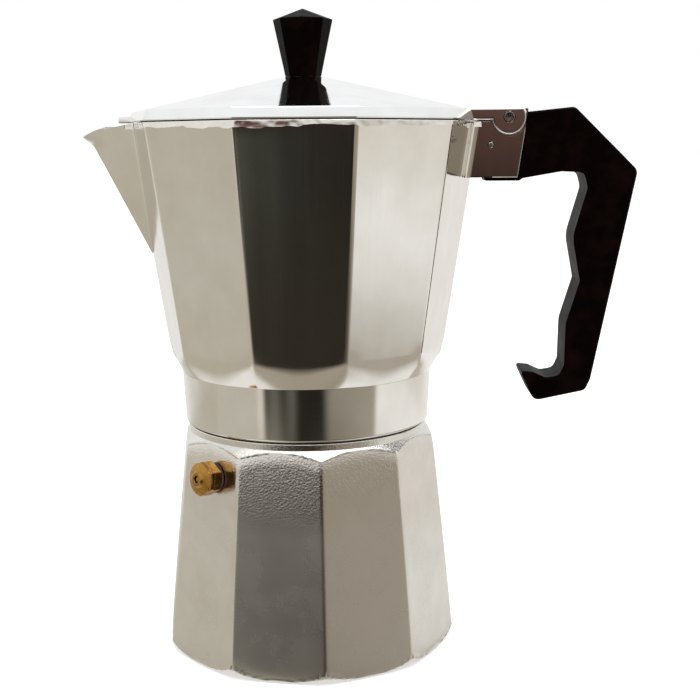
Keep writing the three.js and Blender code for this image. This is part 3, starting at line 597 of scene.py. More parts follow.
# The valve's own frame: its Z axis stands square out of the boiler's facet

washerMiddle = 0.7
valveLift = next(joint for joint in frame["joints"] if joint["name"] == "valve_lift")
valveAxis = Vector(valveLift["axis"])
valveSide = Vector((0, 0, 1)).cross(valveAxis).normalized()
valveFrame = Matrix((valveSide, valveAxis.cross(valveSide), valveAxis)).transposed().to_4x4()
valveFrame.translation = middleOf("valve_washer") - valveAxis * washerMiddle

finishPiece(boilerPot(), "boilerPot", "boiler", satinAluminium, ["boiler"], sharpAngle=32)

valve = {"hexCorner": 6.64, "shank": 4.6, "bore": 3, "inlet": 1.5, "spigot": 3.8, "nose": 2.5, "mouth": 1.35,
         "shankEnd": -6.9, "boreEnd": -5.4, "hexFoot": 1.4, "hexTop": 5.2, "spigotTop": 6.6,
         "bevel": 0.5, "bevelRise": 0.4, "hollow": 4.1, "hollowTop": 7.2,
         "capFoot": 5.5, "crown": 6.9, "crownOut": 0.4, "capTop": 7.35, "noseTop": 9.0,
         "dome": [(4.6, 7.9, 0.6), (3.3, 8.3, 0.6)],
         "stem": 0.95, "stemTop": 8.55, "stemCrown": 8.6, "head": 2.7, "headFoot": -5.1, "headTop": -3.6,
         "washer": 5.75, "washerFoot": 0.3, "washerTop": 1.1, "washerRound": (0.1, 0.15, 0.15, 0.1)}
hexCut = {"sides": 6, "turn": 30, "edgeRound": 0.35, "crowding": 0.75}
capCut = {**hexCut, "corner": valve["hexCorner"], "cornerAt": 6, "taper": 0, "blend": 0.5}


def valveHexagon():
    size = valve
    corner, foot, top = size["hexCorner"], size["hexFoot"], size["hexTop"]
    shape = turnedShape([
        (size["inlet"], size["shankEnd"], 0.3), (size["shank"], size["shankEnd"], 0.4),
        (size["shank"], foot, 0), (corner - size["bevel"], foot, 0, 0),
        (corner, foot + size["bevelRise"], 0, 0), (corner, top - size["bevelRise"], 0, 0),
        (corner - size["bevel"], top, 0, 0), (size["spigot"], top, 0), (size["spigot"], size["spigotTop"], 0),
        (size["bore"], size["spigotTop"], 0), (size["bore"], size["boreEnd"], 0),
        (size["inlet"], size["boreEnd"], 0),
    ], steps=96, coarseStep=2)
    grindFacets(shape, hexCut)
    return shape


def valveCapNut():
    size = valve
    corner, foot = size["hexCorner"], size["capFoot"]
    shape = turnedShape([
        (size["hollow"], foot, 0), (corner - size["bevel"], foot, 0, 0),
        (corner, foot + size["bevelRise"], 0, 0),
        (corner + size["crownOut"], size["crown"], 0, 0), (corner - size["bevel"], size["capTop"], 0),
        *size["dome"], (size["nose"], size["noseTop"], 0.5), (size["mouth"], size["noseTop"], 0.3),
        (size["mouth"], size["hollowTop"], 0), (size["hollow"], size["hollowTop"], 0),
    ], steps=96, coarseStep=1)
    grindFacets(shape, capCut)
    return shape


def valvePoppet():
    size = valve
    return turnedShape([
        (0, size["headFoot"], 0), (size["head"], size["headFoot"], 0.2), (size["head"], size["headTop"], 0.2),
        (size["stem"], size["headTop"], 0.2), (size["stem"], size["stemTop"], 0.5), (0, size["stemCrown"], 0),
    ], steps=32, closed=False)


def valveWasher():
    size = valve
    return plainRing(boiler["socket"], size["washer"], size["washerFoot"], size["washerTop"],
                     size["washerRound"], steps=48)


def finishValve(shape, name, body, finish, node, sharpAngle):
    finishPiece(shape, name, body, finish, [node], sharpAngle, valveFrame)


finishValve(valveHexagon(), "valveHexagon", "boiler", machinedBrass, "valve_body", 25)
finishValve(valveCapNut(), "valveCapNut", "boiler", machinedBrass, "valve_cap", 25)
finishValve(valvePoppet(), "valveStem", "valve_stem", machinedBrass, "valve_poppet", 30)
finishValve(valveWasher(), "valveWasher", "boiler", redFibre, "valve_washer", 30)
print("boiler and valve made")


# Funnel, filter plate and seal

funnel = {"basket": 38.2, "wallFoot": 80.3, "inside": 37.0, "foot": 77.5, "ledge": 81.5, "slopeEdge": 35.4,
          "sheet": 1.2, "flange": 41.2, "flangeBottom": 101.8, "flangeTop": 102.8,
          "tube": 5.2, "bore": 4.2, "tubeEnd": 10, "lip": 7.4, "lipRise": 1.5, "lipThickness": 1,
          "screen": 36.7, "screenFoot": 81.8, "screenMargin": 4}
plate = {"radius": 33.2, "foot": 105.7, "margin": 6, "rim": 32.2, "rimFoot": 104.1, "rimTop": 106.3,
         "rimRound": (0.2, 0.3, 0.2, 0.2)}
sieve = {"thickness": 1.0, "spacing": 3.4, "hole": 0.55, "holeSides": 8, "edgeSides": 120}
seal = {"inside": 33.5, "outside": 41.5, "foot": 103.1, "top": 106.7, "rounding": 0.5}


def funnelBasket():
    size = funnel
    hole = size["tube"] + pot["gap"]
    flat = size["lip"] + pot["gap"]
    inside = size["foot"] + size["sheet"]
    return turnedShape([
        (hole, size["foot"], 0), (flat, size["foot"], 1.5), (size["basket"], size["wallFoot"], 1.5),
        (size["basket"], size["flangeBottom"], 0.6), (size["flange"], size["flangeBottom"], 0.3),
        (size["flange"], size["flangeTop"], 0.4), (size["inside"], size["flangeTop"], 1.0),
        (size["inside"], size["ledge"], 0.4), (size["slopeEdge"], size["ledge"], 0.8),
        (flat, inside, 1.0), (hole, inside, 0),
    ], steps=144)


def funnelTube():
    size = funnel
    lipBottom = size["foot"] + size["lipRise"]
    lipTop = lipBottom + size["lipThickness"]
    return turnedShape([
        (size["bore"], size["tubeEnd"], 0.2), (size["tube"], size["tubeEnd"], 0.3),
        (size["tube"], lipBottom, 0.4), (size["lip"], lipBottom, 0.3),
        (size["lip"], lipTop, 0.3), (size["bore"], lipTop, 0.8),
    ], steps=64)


def sieveDisc(radius, low, margin):
    # A sheet with a six-sided grid of punched holes
    shape = bmesh.new()
    bmesh.ops.create_circle(shape, segments=sieve["edgeSides"], radius=radius,
                            matrix=Matrix.Translation((0, 0, low)))
    spacing = sieve["spacing"]
    rowStep = spacing * math.cos(math.pi / 6)
    reach = radius - margin
    rows = int(reach / rowStep)
    for row in range(-rows, rows + 1):
        shift = spacing / 2 if row % 2 else 0
        columns = int(reach / spacing) + 1
        for column in range(-columns, columns + 1):
            x, y = column * spacing + shift, row * rowStep
            if math.hypot(x, y) <= reach:
                bmesh.ops.create_circle(shape, segments=sieve["holeSides"], radius=sieve["hole"],
                                        matrix=Matrix.Translation((x, y, low)))
    bmesh.ops.triangle_fill(shape, edges=shape.edges[:], use_beauty=True, use_dissolve=False)
    return extruded(shape, (0, 0, sieve["thickness"]))


def filterPlate():
    size = plate
    rim = plainRing(size["rim"], size["radius"], size["rimFoot"], size["rimTop"], size["rimRound"])
    return carved(sieveDisc(size["radius"], size["foot"], size["margin"]), [rim])


def gasketRing():
    size = seal
    return plainRing(size["inside"], size["outside"], size["foot"], size["top"], (size["rounding"],) * 4)


def finishPressed(shape, name, body, node):
    finishPiece(shape, name, body, pressedAluminium, [node])


finishPressed(funnelBasket(), "funnelBasket", "funnel", "funnel_basket")
finishPressed(funnelTube(), "funnelTube", "funnel", "funnel_tube")
finishPressed(sieveDisc(funnel["screen"], funnel["screenFoot"], funnel["screenMargin"]), "funnelScreen",
              "funnel", "funnel_screen")
finishPressed(filterPlate(), "filterPlate", "filter", "filter_plate")
finishPiece(gasketRing(), "gasketRing", "seal", whiteRubber, ["gasket"])
print("funnel, plate and seal made")


# Jug, with its spout and the bracket for the hinge and the handle

jug = {
    "sides": 10, "corner": 53.8, "cornerAt": 110.4, "taper": pot["jugTaper"], "steps": 360,
    "edgeRound": 3.4, "blend": 1.2, "crowding": 0.72,
    "collarBottom": 90.0, "collarTop": 110.4, "collar": 48.6, "collarFlare": 49.7, "collarBore": 46.0,
    "slope": 1.29, "reach": 74, "wall": 3, "wallSplit": 2, "floor": 113.0, "floorEdge": 47.92,
    "rimRound": 0.45, "rimStep": 0.13,
    "seat": 41.8, "seatFoot": 102.8, "seatTop": 107.0, "seatInside": 30.0,
    "hub": 9.0, "hubFoot": 109.5, "hubHole": 6.1,
    "arcs": (110.6, 119), "coarseStep": 7,
}


def jugShell():
    size, rim = jug, pot["rim"]
    outerKink = size["collarTop"] + (size["reach"] - size["collarFlare"]) * size["slope"]
    innerReach = size["reach"] + size["wallSplit"]  # keeps the wall's two sides apart until they are ground
    innerKink = size["floor"] + (innerReach - size["floorEdge"]) * size["slope"]
    rimRound, rimStep, wall = size["rimRound"], size["rimStep"], size["wall"]
    shape = turnedShape([
        (size["collarBore"], size["collarBottom"], 0.4),
        (size["collar"], size["collarBottom"], 1.2),
        (size["collarFlare"], size["collarTop"], 0.6),
        (size["reach"], outerKink, 0, 0),
        (size["reach"], rim - rimRound, 0, 0),
        (size["reach"], rim - rimStep, 0, rimStep),
        (size["reach"], rim, 0, rimRound),
        (innerReach, rim, 0, wall - rimRound),
        (innerReach, rim - rimStep, 0, wall - rimStep),
        (innerReach, rim - rimRound, 0, wall),
        (innerReach, innerKink, 0, wall),
        (size["floorEdge"], size["floor"], 2.5, wall),
        (size["hubHole"], size["floor"], 0.3),
        (size["hubHole"], size["hubFoot"], 0.3),
        (size["hub"], size["hubFoot"], 0.5),
        (size["seatInside"], size["seatTop"], 0.3),
        (size["seat"], size["seatTop"], 0.2),
        (size["seat"], size["seatFoot"], 0.3),
        (size["collarBore"], size["seatFoot"], 0.3),
    ], size["steps"], fine=(size["arcs"],), coarseStep=size["coarseStep"])
    grindFacets(shape, size)
    return shape


spout = {
    "footX": -60.68, "footZ": 155.2, "tipX": -88.2, "rootHalf": 11, "rootX": -65.0,
    "keelRound": 1.3, "rootRound": 5, "levels": 40, "step": 1.2, "lowestShare": 0.02,
    "tail": 16.5, "buried": 8, "overlap": 0.05,
    "flare": 2.5, "flareFoot": 198.6, "flareRise": 2.4, "flareStart": -78.5, "flareRun": 6,
    "dip": 1.1, "dipStart": -66, "dipRun": 6, "droop": 4.4, "droopStart": -75, "droopRun": 10,
    "channelRoot": -50, "channelRootHalf": 9.2, "channelTipX": -86.0, "channelSetback": 2,
    "channelRound": 4, "channelTipRound": 1.2, "channelFoot": (2.6, 0, 3), "channelShare": 1.25,
    "channelLevels": 12, "settlingSteps": 60,
}


def between(value):
    return min(1, max(0, value))


def spoutTop(x):
    # Height of the spout's upper edge, from its tip back to the rim
    size = spout
    return (pot["rim"] - size["dip"] * between((size["dipStart"] - x) / size["dipRun"])
            - size["droop"] * max(0, (size["droopStart"] - x) / size["droopRun"]) ** 2)


def drawnCone(outline, apex, shares, levels):
    # Rings of an outline at the rim's height, shrunk towards the apex below it
    lowest = spout["lowestShare"]
    shape = faceShape([(x, y, pot["rim"]) for x, y, mark in outline])
    corners = [vert.co.copy() for vert in shape.verts]
    number = shape.verts.layers.int.new("number")
    for i, vert in enumerate(shape.verts):
        vert[number] = i
    ring, verts = shape.edges[:], shape.verts[:]
    for k in range(levels):
        if k:
            made = bmesh.ops.extrude_edge_only(shape, edges=ring)["geom"]
            verts = [item for item in made if isinstance(item, bmesh.types.BMVert)]
            fresh = set(verts)
            edges = [item for item in made if isinstance(item, bmesh.types.BMEdge)]
            ring = [edge for edge in edges if fresh.issuperset(edge.verts)]
        height = lowest + (1 - lowest) * k / (levels - 1)
        for vert in verts:
            vert.co = apex.lerp(corners[vert[number]], height * shares[vert[number]])
    shape.faces.new(sorted(verts, key=lambda vert: vert[number]))
    bmesh.ops.recalc_face_normals(shape, faces=shape.faces)
    return shape


def withSteps(points, step):
    # The same closed outline with points no further apart than step
    stepped = []
    for (x0, y0, mark), (x1, y1, nextMark) in zip(points, points[1:] + points[:1]):
        count = max(1, math.ceil(math.hypot(x1 - x0, y1 - y0) / step))
        stepped += [(x0 + (x1 - x0) * k / count, y0 + (y1 - y0) * k / count, mark) for k in range(count)]
    return stepped


def topShares(outline, apex):
    # How far up its own line from the apex each point meets the spout's upper edge
    shares = []
    for x, y, mark in outline:
        share = 1.0
        for step in range(spout["settlingSteps"]):
            height = spoutTop(apex.x + share * (x - apex.x))
            share += ((height - apex.z) / (pot["rim"] - apex.z) - share) / 2
        shares.append(share)
    return shares


def mirrored(corners):
    # A half outline of corners and the same corners across the XZ plane, back to the start
    return corners + [(x, -y, rounding) for x, y, rounding in reversed(corners) if y]


def spoutBeak():
    size = spout
    tail = size["tail"]
    tailX = -(pot["rimCorner"] - tail * math.tan(halfFacet)) + size["overlap"]
    half = [(tailX + size["buried"], tail, 0), (tailX, tail, 0),
            (size["rootX"], size["rootHalf"], size["rootRound"]), (size["tipX"], 0, size["keelRound"])]
    outline = withSteps(softCorners(mirrored(half), 8), size["step"])
    apex = Vector((size["footX"], 0, size["footZ"]))
    shape = drawnCone(outline, apex, topShares(outline, apex), size["levels"])
    for vert in shape.verts:
        up = between((vert.co.z - size["flareFoot"]) / size["flareRise"])
        forward = between((size["flareStart"] - vert.co.x) / size["flareRun"])
        vert.co.x -= size["flare"] * up * forward
    return shape


def spoutChannel():
    size = spout
    half, rootX = size["channelRootHalf"], size["rootX"] + size["channelSetback"]
    outline = softCorners(mirrored([
        (size["channelRoot"], half, 0), (rootX, half, size["channelRound"]),
        (size["channelTipX"], 0, size["channelTipRound"])]))
    apex = Vector((size["footX"], 0, size["footZ"])) + Vector(size["channelFoot"])
    return drawnCone(outline, apex, [size["channelShare"]] * len(outline), size["channelLevels"])


bracket = {
    "half": 10, "bottom": 185.4, "rear": 85.88, "rake": 0.15, "edge": 0.5, "buried": 56,
    "fillet": 4.6, "filletTail": 6.5, "filletEnd": 76, "sink": 0.04, "inset": 0.01, "drop": 0.2,
    "innerHalf": 7.7, "cheekRoot": 2, "cheekTop": 3.25, "cheekFront": 3.9, "cheekRound": 0.5,
    "cheekEdge": 0.3,
    "slotHalf": 5.1, "slotDepth": 9.3, "slotBelow": 5, "slotAbove": 8, "pocket": 7.6, "pocketEnd": 16,
    "pinHole": 2.3, "crossPinHole": 1.3, "drillReach": 20, "clearOf": 100,
}


def rearAt(z):
    return bracket["rear"] + bracket["rake"] * (z - pot["rim"])


def bracketArm():
    size = bracket
    root, low, high = size["buried"], size["bottom"], pot["rim"]
    shape = slabShape([(root, low, 0), (rearAt(low), low, 0), (rearAt(high), high, 0), (root, high, 0)],
                      -size["half"], size["half"])
    return softenEdges(shape, size["edge"], 3)


def bracketRoot():
    # Concave fillets that run from the bracket's sides on to the two facets
    size = bracket
    facetRun = math.tan(halfFacet)
    tail = size["half"] + size["filletTail"]
    tailX = pot["rimCorner"] - tail * facetRun - size["sink"]
    cornerX = pot["rimCorner"] - size["half"] * facetRun
    side = size["half"] - size["inset"]
    half = [(size["buried"], -tail, 0), (tailX, -tail, 0), (cornerX, -side, size["fillet"]),
            (size["filletEnd"], -side, 0)]
    fall = pot["rim"] - size["bottom"] - size["drop"]
    shape = faceShape([(x, y, pot["rim"] - size["drop"]) for x, y, mark in softCorners(mirrored(half), 10)])
    return extruded(shape, (-pot["jugTaper"] * fall, 0, -fall))


def bracketCheeks():
    size = bracket
    low, high = pot["rim"] - size["cheekRoot"], hinge.z + size["cheekTop"]
    front, rounding = hinge.x - size["cheekFront"], size["cheekRound"]
    shape = slabShape([(front, low, 0), (rearAt(low), low, 0), (rearAt(high), high, rounding),
                       (front, high, rounding)], -size["innerHalf"], size["innerHalf"], 3)
    return softenEdges(shape, size["cheekEdge"])


def pinLine(pin, half):
    return (pin.x, -half, pin.z), (pin.x, half, pin.z)


def drilled(pin, radius):
    return rodShape(*pinLine(pin, bracket["drillReach"]), radius)


def bracketCuts():
    size = bracket
    low, high = size["bottom"] - size["slotBelow"], hinge.z + size["slotAbove"]
    start, end = hinge.x - size["slotDepth"], size["clearOf"]
    slot = slabShape([(start, low, 0), (end, low, 0), (end, high, 0), (start, high, 0)],
                     -size["slotHalf"], size["slotHalf"])
    pockets = [rodShape((hinge.x, side * size["innerHalf"], hinge.z),
                        (hinge.x, side * size["pocketEnd"], hinge.z), size["pocket"], 72) for side in (-1, 1)]
    return [slot, *pockets, drilled(hinge, size["pinHole"]), drilled(crossPin, size["crossPinHole"])]


def jugBody():
    joins = [spoutBeak(), bracketArm(), bracketRoot(), bracketCheeks()]
    cuts = [spoutChannel(), *bracketCuts()]
    inside = threadRidge(jug["collarBore"], -1, pot["neckTop"] - thread["drop"] - thread["pitch"] / 2)
    return carved(jugShell(), joins, cuts, [inside])


polishedAluminium = polishedCasting(jugFinish)
finishPiece(jugBody(), "jugBody", "upper_pot", polishedAluminium, ["jug"])


chimney = {
    "bore": 4.2, "boreTop": 184.7, "spigot": 5.8, "foot": 109.5, "flange": 9, "flangeFoot": 113.3,
    "flangeTop": 115.3, "root": (8.4, 117.3, 0.5), "top": 186.7, "topRadius": 6.6, "topRound": 1.2,
    "slotHalf": 2.5, "slotFoot": 178.7, "slotReach": 15,
}


def chimneyColumn():
    size = chimney
    column = turnedShape([
        (size["bore"], size["foot"], 0.3), (size["spigot"], size["foot"], 0.3),
        (size["spigot"], size["flangeFoot"], 0), (size["flange"], size["flangeFoot"], 0.3),
        (size["flange"], size["flangeTop"], 0.5), size["root"],
        (size["topRadius"], size["top"], size["topRound"]),
        (0, size["top"], 0), (0, size["boreTop"], 0), (size["bore"], size["boreTop"], 0.3),
        (size["bore"], size["foot"], 0),
    ], steps=72, closed=False)
    half, low, high = size["slotHalf"], size["slotFoot"], size["boreTop"]
    slots = slabShape([(-half, low, 2), (half, low, 2), (half, high, 1), (-half, high, 1)],
                      -size["slotReach"], size["slotReach"])
    return carved(column, cuts=[slots])


finishPiece(chimneyColumn(), "chimneyColumn", "upper_pot", satinAluminium, ["chimney"])
print("jug made")


# Lid, its strap, the knob and the pins

lid = {
    "bottom": 207.0, "corner": 68.88, "skirtTop": 211.0, "skirtCorner": 67.68, "top": 224.0, "flat": 9,
    "wall": 2, "rimWidth": 4, "cut": {"sides": 10, "edgeRound": 1.1, "crowding": 0.8},
    "steps": 360, "coarseStep": 6,
    "beakRoot": -60.9, "beakReach": 72.3, "beakHalf": 8, "beakTip": 2.5, "beakThickness": 2.4,
    "beakRound": 0.5,
    "lobe": 6.8, "lobeSteps": 48, "strapTop": 212.1, "strapPlate": 1.8, "strapStart": 62.08,
    "strapRound": 0.8,
    "plateEnd": 73.5, "plateInset": 1.2, "half": 10, "earThickness": 2, "earRound": 1.1,
    "screwHole": 2.0, "screwHoleDepth": 9, "screwHoleOver": 2,
}
touching = 0.01


def lidShell():
    size = lid
    inner = size["corner"] - size["rimWidth"]
    top, skirtTop = size["top"], size["skirtTop"]
    shape = turnedShape([
        (0, top - size["wall"], 0, 0), (size["flat"], top - size["wall"], 1, 0),
        (inner, skirtTop - size["wall"], 0.6, 0), (inner, size["bottom"], 0.4, 0),
        (size["corner"], size["bottom"], 0.5, 0), (size["skirtCorner"], skirtTop, 0.6, 0),
        (size["flat"], top, 1, 0), (0, top, 0, 0),
    ], size["steps"], closed=False, coarseStep=size["coarseStep"])
    grindFacets(shape, size["cut"])
    return shape


def lidBeak():
    size = lid
    root, reach, half, tip = size["beakRoot"], size["beakReach"], size["beakHalf"], size["beakTip"]
    shape = faceShape([(x, y, size["bottom"]) for x, y in ((root, half), (root, -half), (-reach, -tip),
                                                           (-reach, tip))])
    return softenEdges(extruded(shape, (0, 0, size["beakThickness"])), size["beakRound"], 3)


def lidEar(side):
    size = lid
    low, high = size["bottom"] - hinge.z, size["strapTop"] - hinge.z
    startAngle = math.pi - math.asin(low / size["lobe"])
    endAngle = math.tau + math.asin(high / size["lobe"])
    outline = [(size["strapStart"], size["bottom"], 0)]
    for k in range(size["lobeSteps"] + 1):
        angle = startAngle + (endAngle - startAngle) * k / size["lobeSteps"]
        across, up = size["lobe"] * math.cos(angle), size["lobe"] * math.sin(angle)
        outline.append((hinge.x + across, hinge.z + up, 0))
    outline.append((size["strapStart"], size["strapTop"], 0))
    inward, outward = side * (size["half"] - size["earThickness"]), side * size["half"]
    shape = slabShape(outline, min(inward, outward), max(inward, outward))

    def isOutside(edge):
        return all(abs(vert.co.y - outward) < touching for vert in edge.verts)

    return softenEdges(shape, size["earRound"], 4, isOutside, 40, False)


def lidBody():
    size = lid
    half = size["half"] - size["plateInset"]
    start, end, top, rounding = size["strapStart"], size["plateEnd"], size["strapTop"], size["strapRound"]
    foot = top - size["strapPlate"]
    strap = slabShape([(start, foot, 0), (end, foot, 0.3), (end, top, rounding), (start, top, rounding)],
                      -half, half, 4)
    screwHole = rodShape((0, 0, size["top"] - size["screwHoleDepth"]),
                         (0, 0, size["top"] + size["screwHoleOver"]), size["screwHole"])
    return carved(lidShell(), [lidBeak(), strap, lidEar(-1), lidEar(1)],
                  [drilled(hinge, bracket["pinHole"]), screwHole])


finishPiece(lidBody(), "lidBody", "lid", brightAluminium, ["lid"], sharpAngle=25)

knob = {"bottom": 224.3, "wide": 245.8, "apex": 250.0, "neck": 7.0, "widest": 11.6, "bore": 3.6,
        "boreDepth": 13.3, "steps": 240, "coarseStep": 3,
        "cut": {"sides": 8, "edgeRound": 0.9, "crowding": 0.8}}


def knobHead():
    size = knob
    boreTop = size["bottom"] + size["boreDepth"]
    shape = turnedShape([
        (size["bore"], size["bottom"], 0.2), (size["neck"], size["bottom"], 0.5, 0),
        (size["widest"], size["wide"], 0.35, 0), (0, size["apex"], 0, 0),
        (0, boreTop, 0), (size["bore"], boreTop, 0), (size["bore"], size["bottom"], 0),
    ], size["steps"], closed=False, coarseStep=size["coarseStep"])
    grindFacets(shape, size["cut"])
    return shape


finishPiece(knobHead(), "knobHead", "lid", mouldedPhenolic, ["knob"], sharpAngle=25)

pins = {"half": 10.2, "hinge": 2.0, "sheet": 0.45, "boreDepth": 7, "boreOver": 1, "hingeEdge": 0.2,
        "hingeSides": 40, "cross": 1.0, "crossEdge": 0.25, "crossSides": 32, "leastAngle": 60}


def hingeTube():
    # A pin rolled from sheet, open at both ends
    size = pins
    half, bore = size["half"], size["hinge"] - size["sheet"]
    shape = rodShape(*pinLine(hinge, half), size["hinge"], size["hingeSides"])
    softenEdges(shape, size["hingeEdge"], leastAngle=size["leastAngle"])
    bores = [rodShape((hinge.x, side * (half + size["boreOver"]), hinge.z),
                      (hinge.x, side * (half - size["boreDepth"]), hinge.z), bore, size["hingeSides"])
             for side in (-1, 1)]
    return carved(shape, cuts=bores)


def crossRod():
    size = pins
    shape = rodShape(*pinLine(crossPin, size["half"]), size["cross"], size["crossSides"])
    return softenEdges(shape, size["crossEdge"], 3, leastAngle=size["leastAngle"])


finishPiece(hingeTube(), "hingePin", "upper_pot", drawnSteel, ["hinge_pin"])
finishPiece(crossRod(), "handlePin", "upper_pot", drawnSteel, ["handle_pin"])
print("lid and pins made")


# Handle: each corner's x, z and rounding, from the hinge pin

handle = {
    "half": 10, "chamfer": 2.2, "chamferAngle": 60, "soft": 0.35, "softAngle": 22, "top": 1.9, "foot": -23.6,
    "outer": [(25, 3.65, 3), (49.6, -20.5, 3.5), (33.5, -102.1, 5), (31.5, -106.6, 3), (11.4, -110.8, 3.5),
              (5.7, -98.6, 1.6), (11, -99.2, 2), (15.9, -101.5, 4), (21.2, -100.6, 3)],
    "grip": [(23, -96.5, 3), (23.3, -80, 12), (28.4, -63.2, 1.5), (25.2, -46, 14), (30.6, -27, 5),
             (29.1, -21.2, 3), (20.4, -20.8, 4)],
    "frontZone": 0.2,
    "tongueHalf": 4.8, "tongueReach": 9.0, "tongueFoot": 184.0, "tongueRound": 1.2, "tongueKnee": (4, 187),
    "tongueBuried": 2, "tongueRear": 0.9, "tongueTop": 3, "tongueStep": 206.4, "tongueSoft": 0.5,
}


def frontAt(z):
    return rearAt(z) + pot["gap"]


def isNearFront(vert):
    return vert.co.x < frontAt(vert.co.z) + handle["frontZone"]


def isSideEdge(edge):
    start, end = edge.verts
    return abs(start.co.y - end.co.y) < touching and not (isNearFront(start) and isNearFront(end))


def handleTongue():
    size = handle
    start, step = hinge.x - size["tongueReach"], hinge.x - bracket["cheekFront"]
    rear = rearAt(pot["rim"]) + size["tongueBuried"]
    foot, low, high = size["tongueFoot"], size["tongueStep"], hinge.z + size["tongueTop"]
    kneeBack, kneeZ = size["tongueKnee"]
    rounding, soft = size["tongueRound"], size["tongueSoft"]
    return slabShape([(start, foot, rounding), (rear - kneeBack, foot, rounding), (rear, kneeZ, 0),
                      (rear, hinge.z + size["tongueRear"], 0), (rearAt(hinge.z), high, soft),
                      (step, high, soft), (step, low, 0), (start, low, soft)],
                     -size["tongueHalf"], size["tongueHalf"])


def handleGrip():
    size = handle
    top, foot = hinge.z + size["top"], hinge.z + size["foot"]
    outline = [(frontAt(top), top, 0)]
    outline += [(hinge.x + x, hinge.z + z, rounding) for x, z, rounding in size["outer"] + size["grip"]]
    outline += [(frontAt(foot), foot, 0)]
    shape = slabShape(outline, -size["half"], size["half"], 8)
    softenEdges(shape, size["chamfer"], 1, isSideEdge, size["chamferAngle"])
    softenEdges(shape, size["soft"], leastAngle=size["softAngle"])
    return carved(shape, [handleTongue()],
                  [drilled(hinge, bracket["pinHole"]), drilled(crossPin, bracket["crossPinHole"])])


finishPiece(handleGrip(), "handleGrip", "upper_pot", mouldedPhenolic, ["handle"], sharpAngle=20)
print("handle made")


def squashSpring():
    # Gives the spring its own copy of its mesh
    spring = frame["nodes"]["valve_spring"]
    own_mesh(spring)


for node, finish in (("valve_spring", drawnSteel), ("knob_insert", machinedBrass),
                     ("knob_washer", drawnSteel), ("knob_screw", drawnSteel)):
    frame["nodes"][node].data.materials.clear()
    frame["nodes"][node].data.materials.append(finish)
squashSpring()


# Studio: pale floor, soft light, and the room that the metal mirrors

studio = {
    "floor": "#efefef", "glow": "#ffffff", "glowStrength": 0.4, "floorRoughness": 0.9,
    "floorHalf": 20, "floorDrop": 0.0003,
    "lampPlace": (0.1, -0.1, 1.3), "lampTarget": (0, 0, 0.1), "lampSize": 1.4, "lampPower": 10,
}


def paleFloor():
    material, shader = newFinish("paleFloor", Roughness=studio["floorRoughness"])[::2]
    shader.inputs["Base Color"].default_value = linear(studio["floor"])
    shader.inputs["Emission Color"].default_value = linear(studio["glow"])
    shader.inputs["Emission Strength"].default_value = studio["glowStrength"]
    return material


def pouredFloor():
    shape = bmesh.new()
    bmesh.ops.create_grid(shape, x_segments=1, y_segments=1, size=studio["floorHalf"],
                          matrix=Matrix.Translation((0, 0, -studio["floorDrop"])))
    mesh = bpy.data.meshes.new("floor")
    shape.to_mesh(mesh)
    shape.free()
    mesh.materials.append(paleFloor())
    floor = bpy.data.objects.new("floor", mesh)
    floor.visible_glossy = False
    bpy.context.scene.collection.objects.link(floor)


def softBox():
    light = bpy.data.lights.new("topLight", "AREA")
    light.size = studio["lampSize"]
    light.energy = studio["lampPower"]
    lamp = bpy.data.objects.new("topLight", light)
    place = Vector(studio["lampPlace"])
    lamp.location = place
    lamp.rotation_euler = (Vector(studio["lampTarget"]) - place).to_track_quat("-Z", "Y").to_euler()
    lamp.visible_camera = False
    bpy.context.scene.collection.objects.link(lamp)


pouredFloor()
softBox()

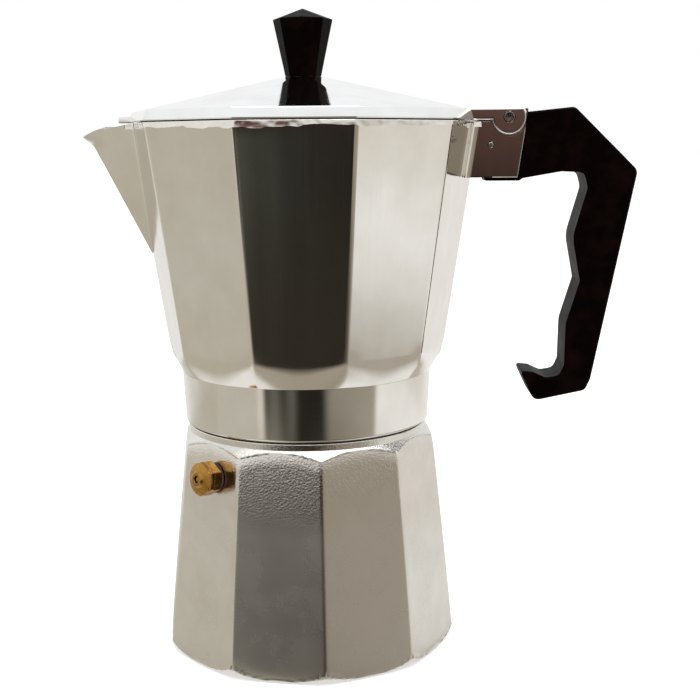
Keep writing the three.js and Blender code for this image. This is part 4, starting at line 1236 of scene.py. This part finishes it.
# What the polished metal mirrors, as belts round the room. Each has the elevations it fades in
# between, from the floor up, and its colours by azimuth, both in degrees.
belts = [
    ((-90, -90), [(-180, "#ffffff"), (-140, "#f4f2ec"), (-115, "#b4ada0"), (-60, "#a79f92"), (-30, "#b9b2a6"),
                  (0, "#ffffff"), (180, "#ffffff")]),
    ((-42, -33), [(-180, "#c5bfb0"), (-125, "#c5bfb0"), (-100, "#3b3831"), (-90, "#2f2b25"), (-50, "#6b655c"),
                  (-25, "#b5afa4"), (40, "#c3beb3"), (125, "#c5bfb4"), (180, "#c5bfb0")]),
    ((-24, -18), [(-180, "#ccc8be"), (-135, "#ccc8be"), (-130, "#f2eee6"), (-125, "#3b342e"),
                  (-117, "#6b6963"), (-110, "#3b342e"), (-100, "#6b6d66"), (-96, "#44453f"),
                  (-93, "#2a2723"), (-74, "#1f1d1d"), (-66, "#9a9488"), (-24, "#a9a397"),
                  (-19, "#ffffff"), (70, "#ffffff"), (125, "#c5c2b6"), (180, "#c8c3b6")]),
    ((-15.5, -14), [(-180, "#c9c4b8"), (-140, "#c6c0b2"), (-134, "#f2eee6"), (-128, "#3b342e"),
                    (-118, "#59544d"), (-112, "#2f2924"), (-72, "#332b26"), (-65, "#958c80"),
                    (-24, "#aaa296"), (-18, "#efece6"), (34, "#e8e4df"), (60, "#f8f6f4"),
                    (120, "#f2f0ee"), (180, "#c9c4b8")]),
    ((-3, 4), [(-180, "#ffffff"), (-150, "#f4f3f1"), (-125, "#ffffff"), (-109, "#f4f2f0"), (-102, "#6b4a44"),
               (-75, "#6b4f48"), (-60, "#a0968b"), (-35, "#b9b0a5"), (0, "#f0efed"), (180, "#ffffff")]),
    ((9, 22), [(-180, "#fafbfd"), (180, "#fafbfd")]),
]


def studioWorld():
    world = bpy.data.worlds.new("studio")
    world.use_nodes = True
    bpy.context.scene.world = world
    tree = world.node_tree
    way = addNode(tree, "ShaderNodeTexCoord").outputs["Generated"]
    axes = addNode(tree, "ShaderNodeSeparateXYZ", {"Vector": way})
    azimuth = math2(tree, "ARCTAN2", axes.outputs["Y"], axes.outputs["X"])
    turn = ranged(tree, azimuth, -math.pi, math.pi, 0.0, 1.0)
    elevation = math2(tree, "ARCSINE", axes.outputs["Z"], 0.0)
    room = None
    for (fadeFrom, fadeTo), colours in belts:
        ramp = addNode(tree, "ShaderNodeValToRGB", {"Fac": turn})
        stops = ramp.color_ramp.elements
        while len(stops) < len(colours):
            stops.new(1.0)
        for stop, (degrees, colour) in zip(stops, colours):
            stop.position = 0.5 + degrees / 360
            stop.color = linear(colour)
        if room is None:
            room = ramp.outputs["Color"]
            continue
        share = ranged(tree, elevation, math.radians(fadeFrom), math.radians(fadeTo), 0.0, 1.0)
        room = blended(tree, share, room, ramp.outputs["Color"])
    rays = addNode(tree, "ShaderNodeLightPath").outputs["Is Camera Ray"]
    tree.links.new(blended(tree, rays, room, linear("#ffffff")), tree.nodes["Background"].inputs["Color"])


studioWorld()

view = {"place": (0.02533, -0.47698, 0.19713), "heading": (-0.01648, 0.99986), "pitch": 0.1672,
        "roll": -0.0064, "lens": 61.71, "sensor": 36}


def addCamera():
    camera = bpy.data.cameras.new("camera")
    camera.lens = view["lens"]
    camera.sensor_width = view["sensor"]
    holder = bpy.data.objects.new("camera", camera)
    holder.location = view["place"]
    level = math.cos(view["pitch"])
    forward = Vector((view["heading"][0] * level, view["heading"][1] * level, -math.sin(view["pitch"])))
    aim = forward.to_track_quat("-Z", "Y") @ Quaternion((0, 0, 1), view["roll"])
    holder.rotation_euler = aim.to_euler()
    bpy.context.scene.collection.objects.link(holder)
    bpy.context.scene.camera = holder


addCamera()
bpy.context.scene.view_settings.view_transform = "Standard"
print("studio ready")
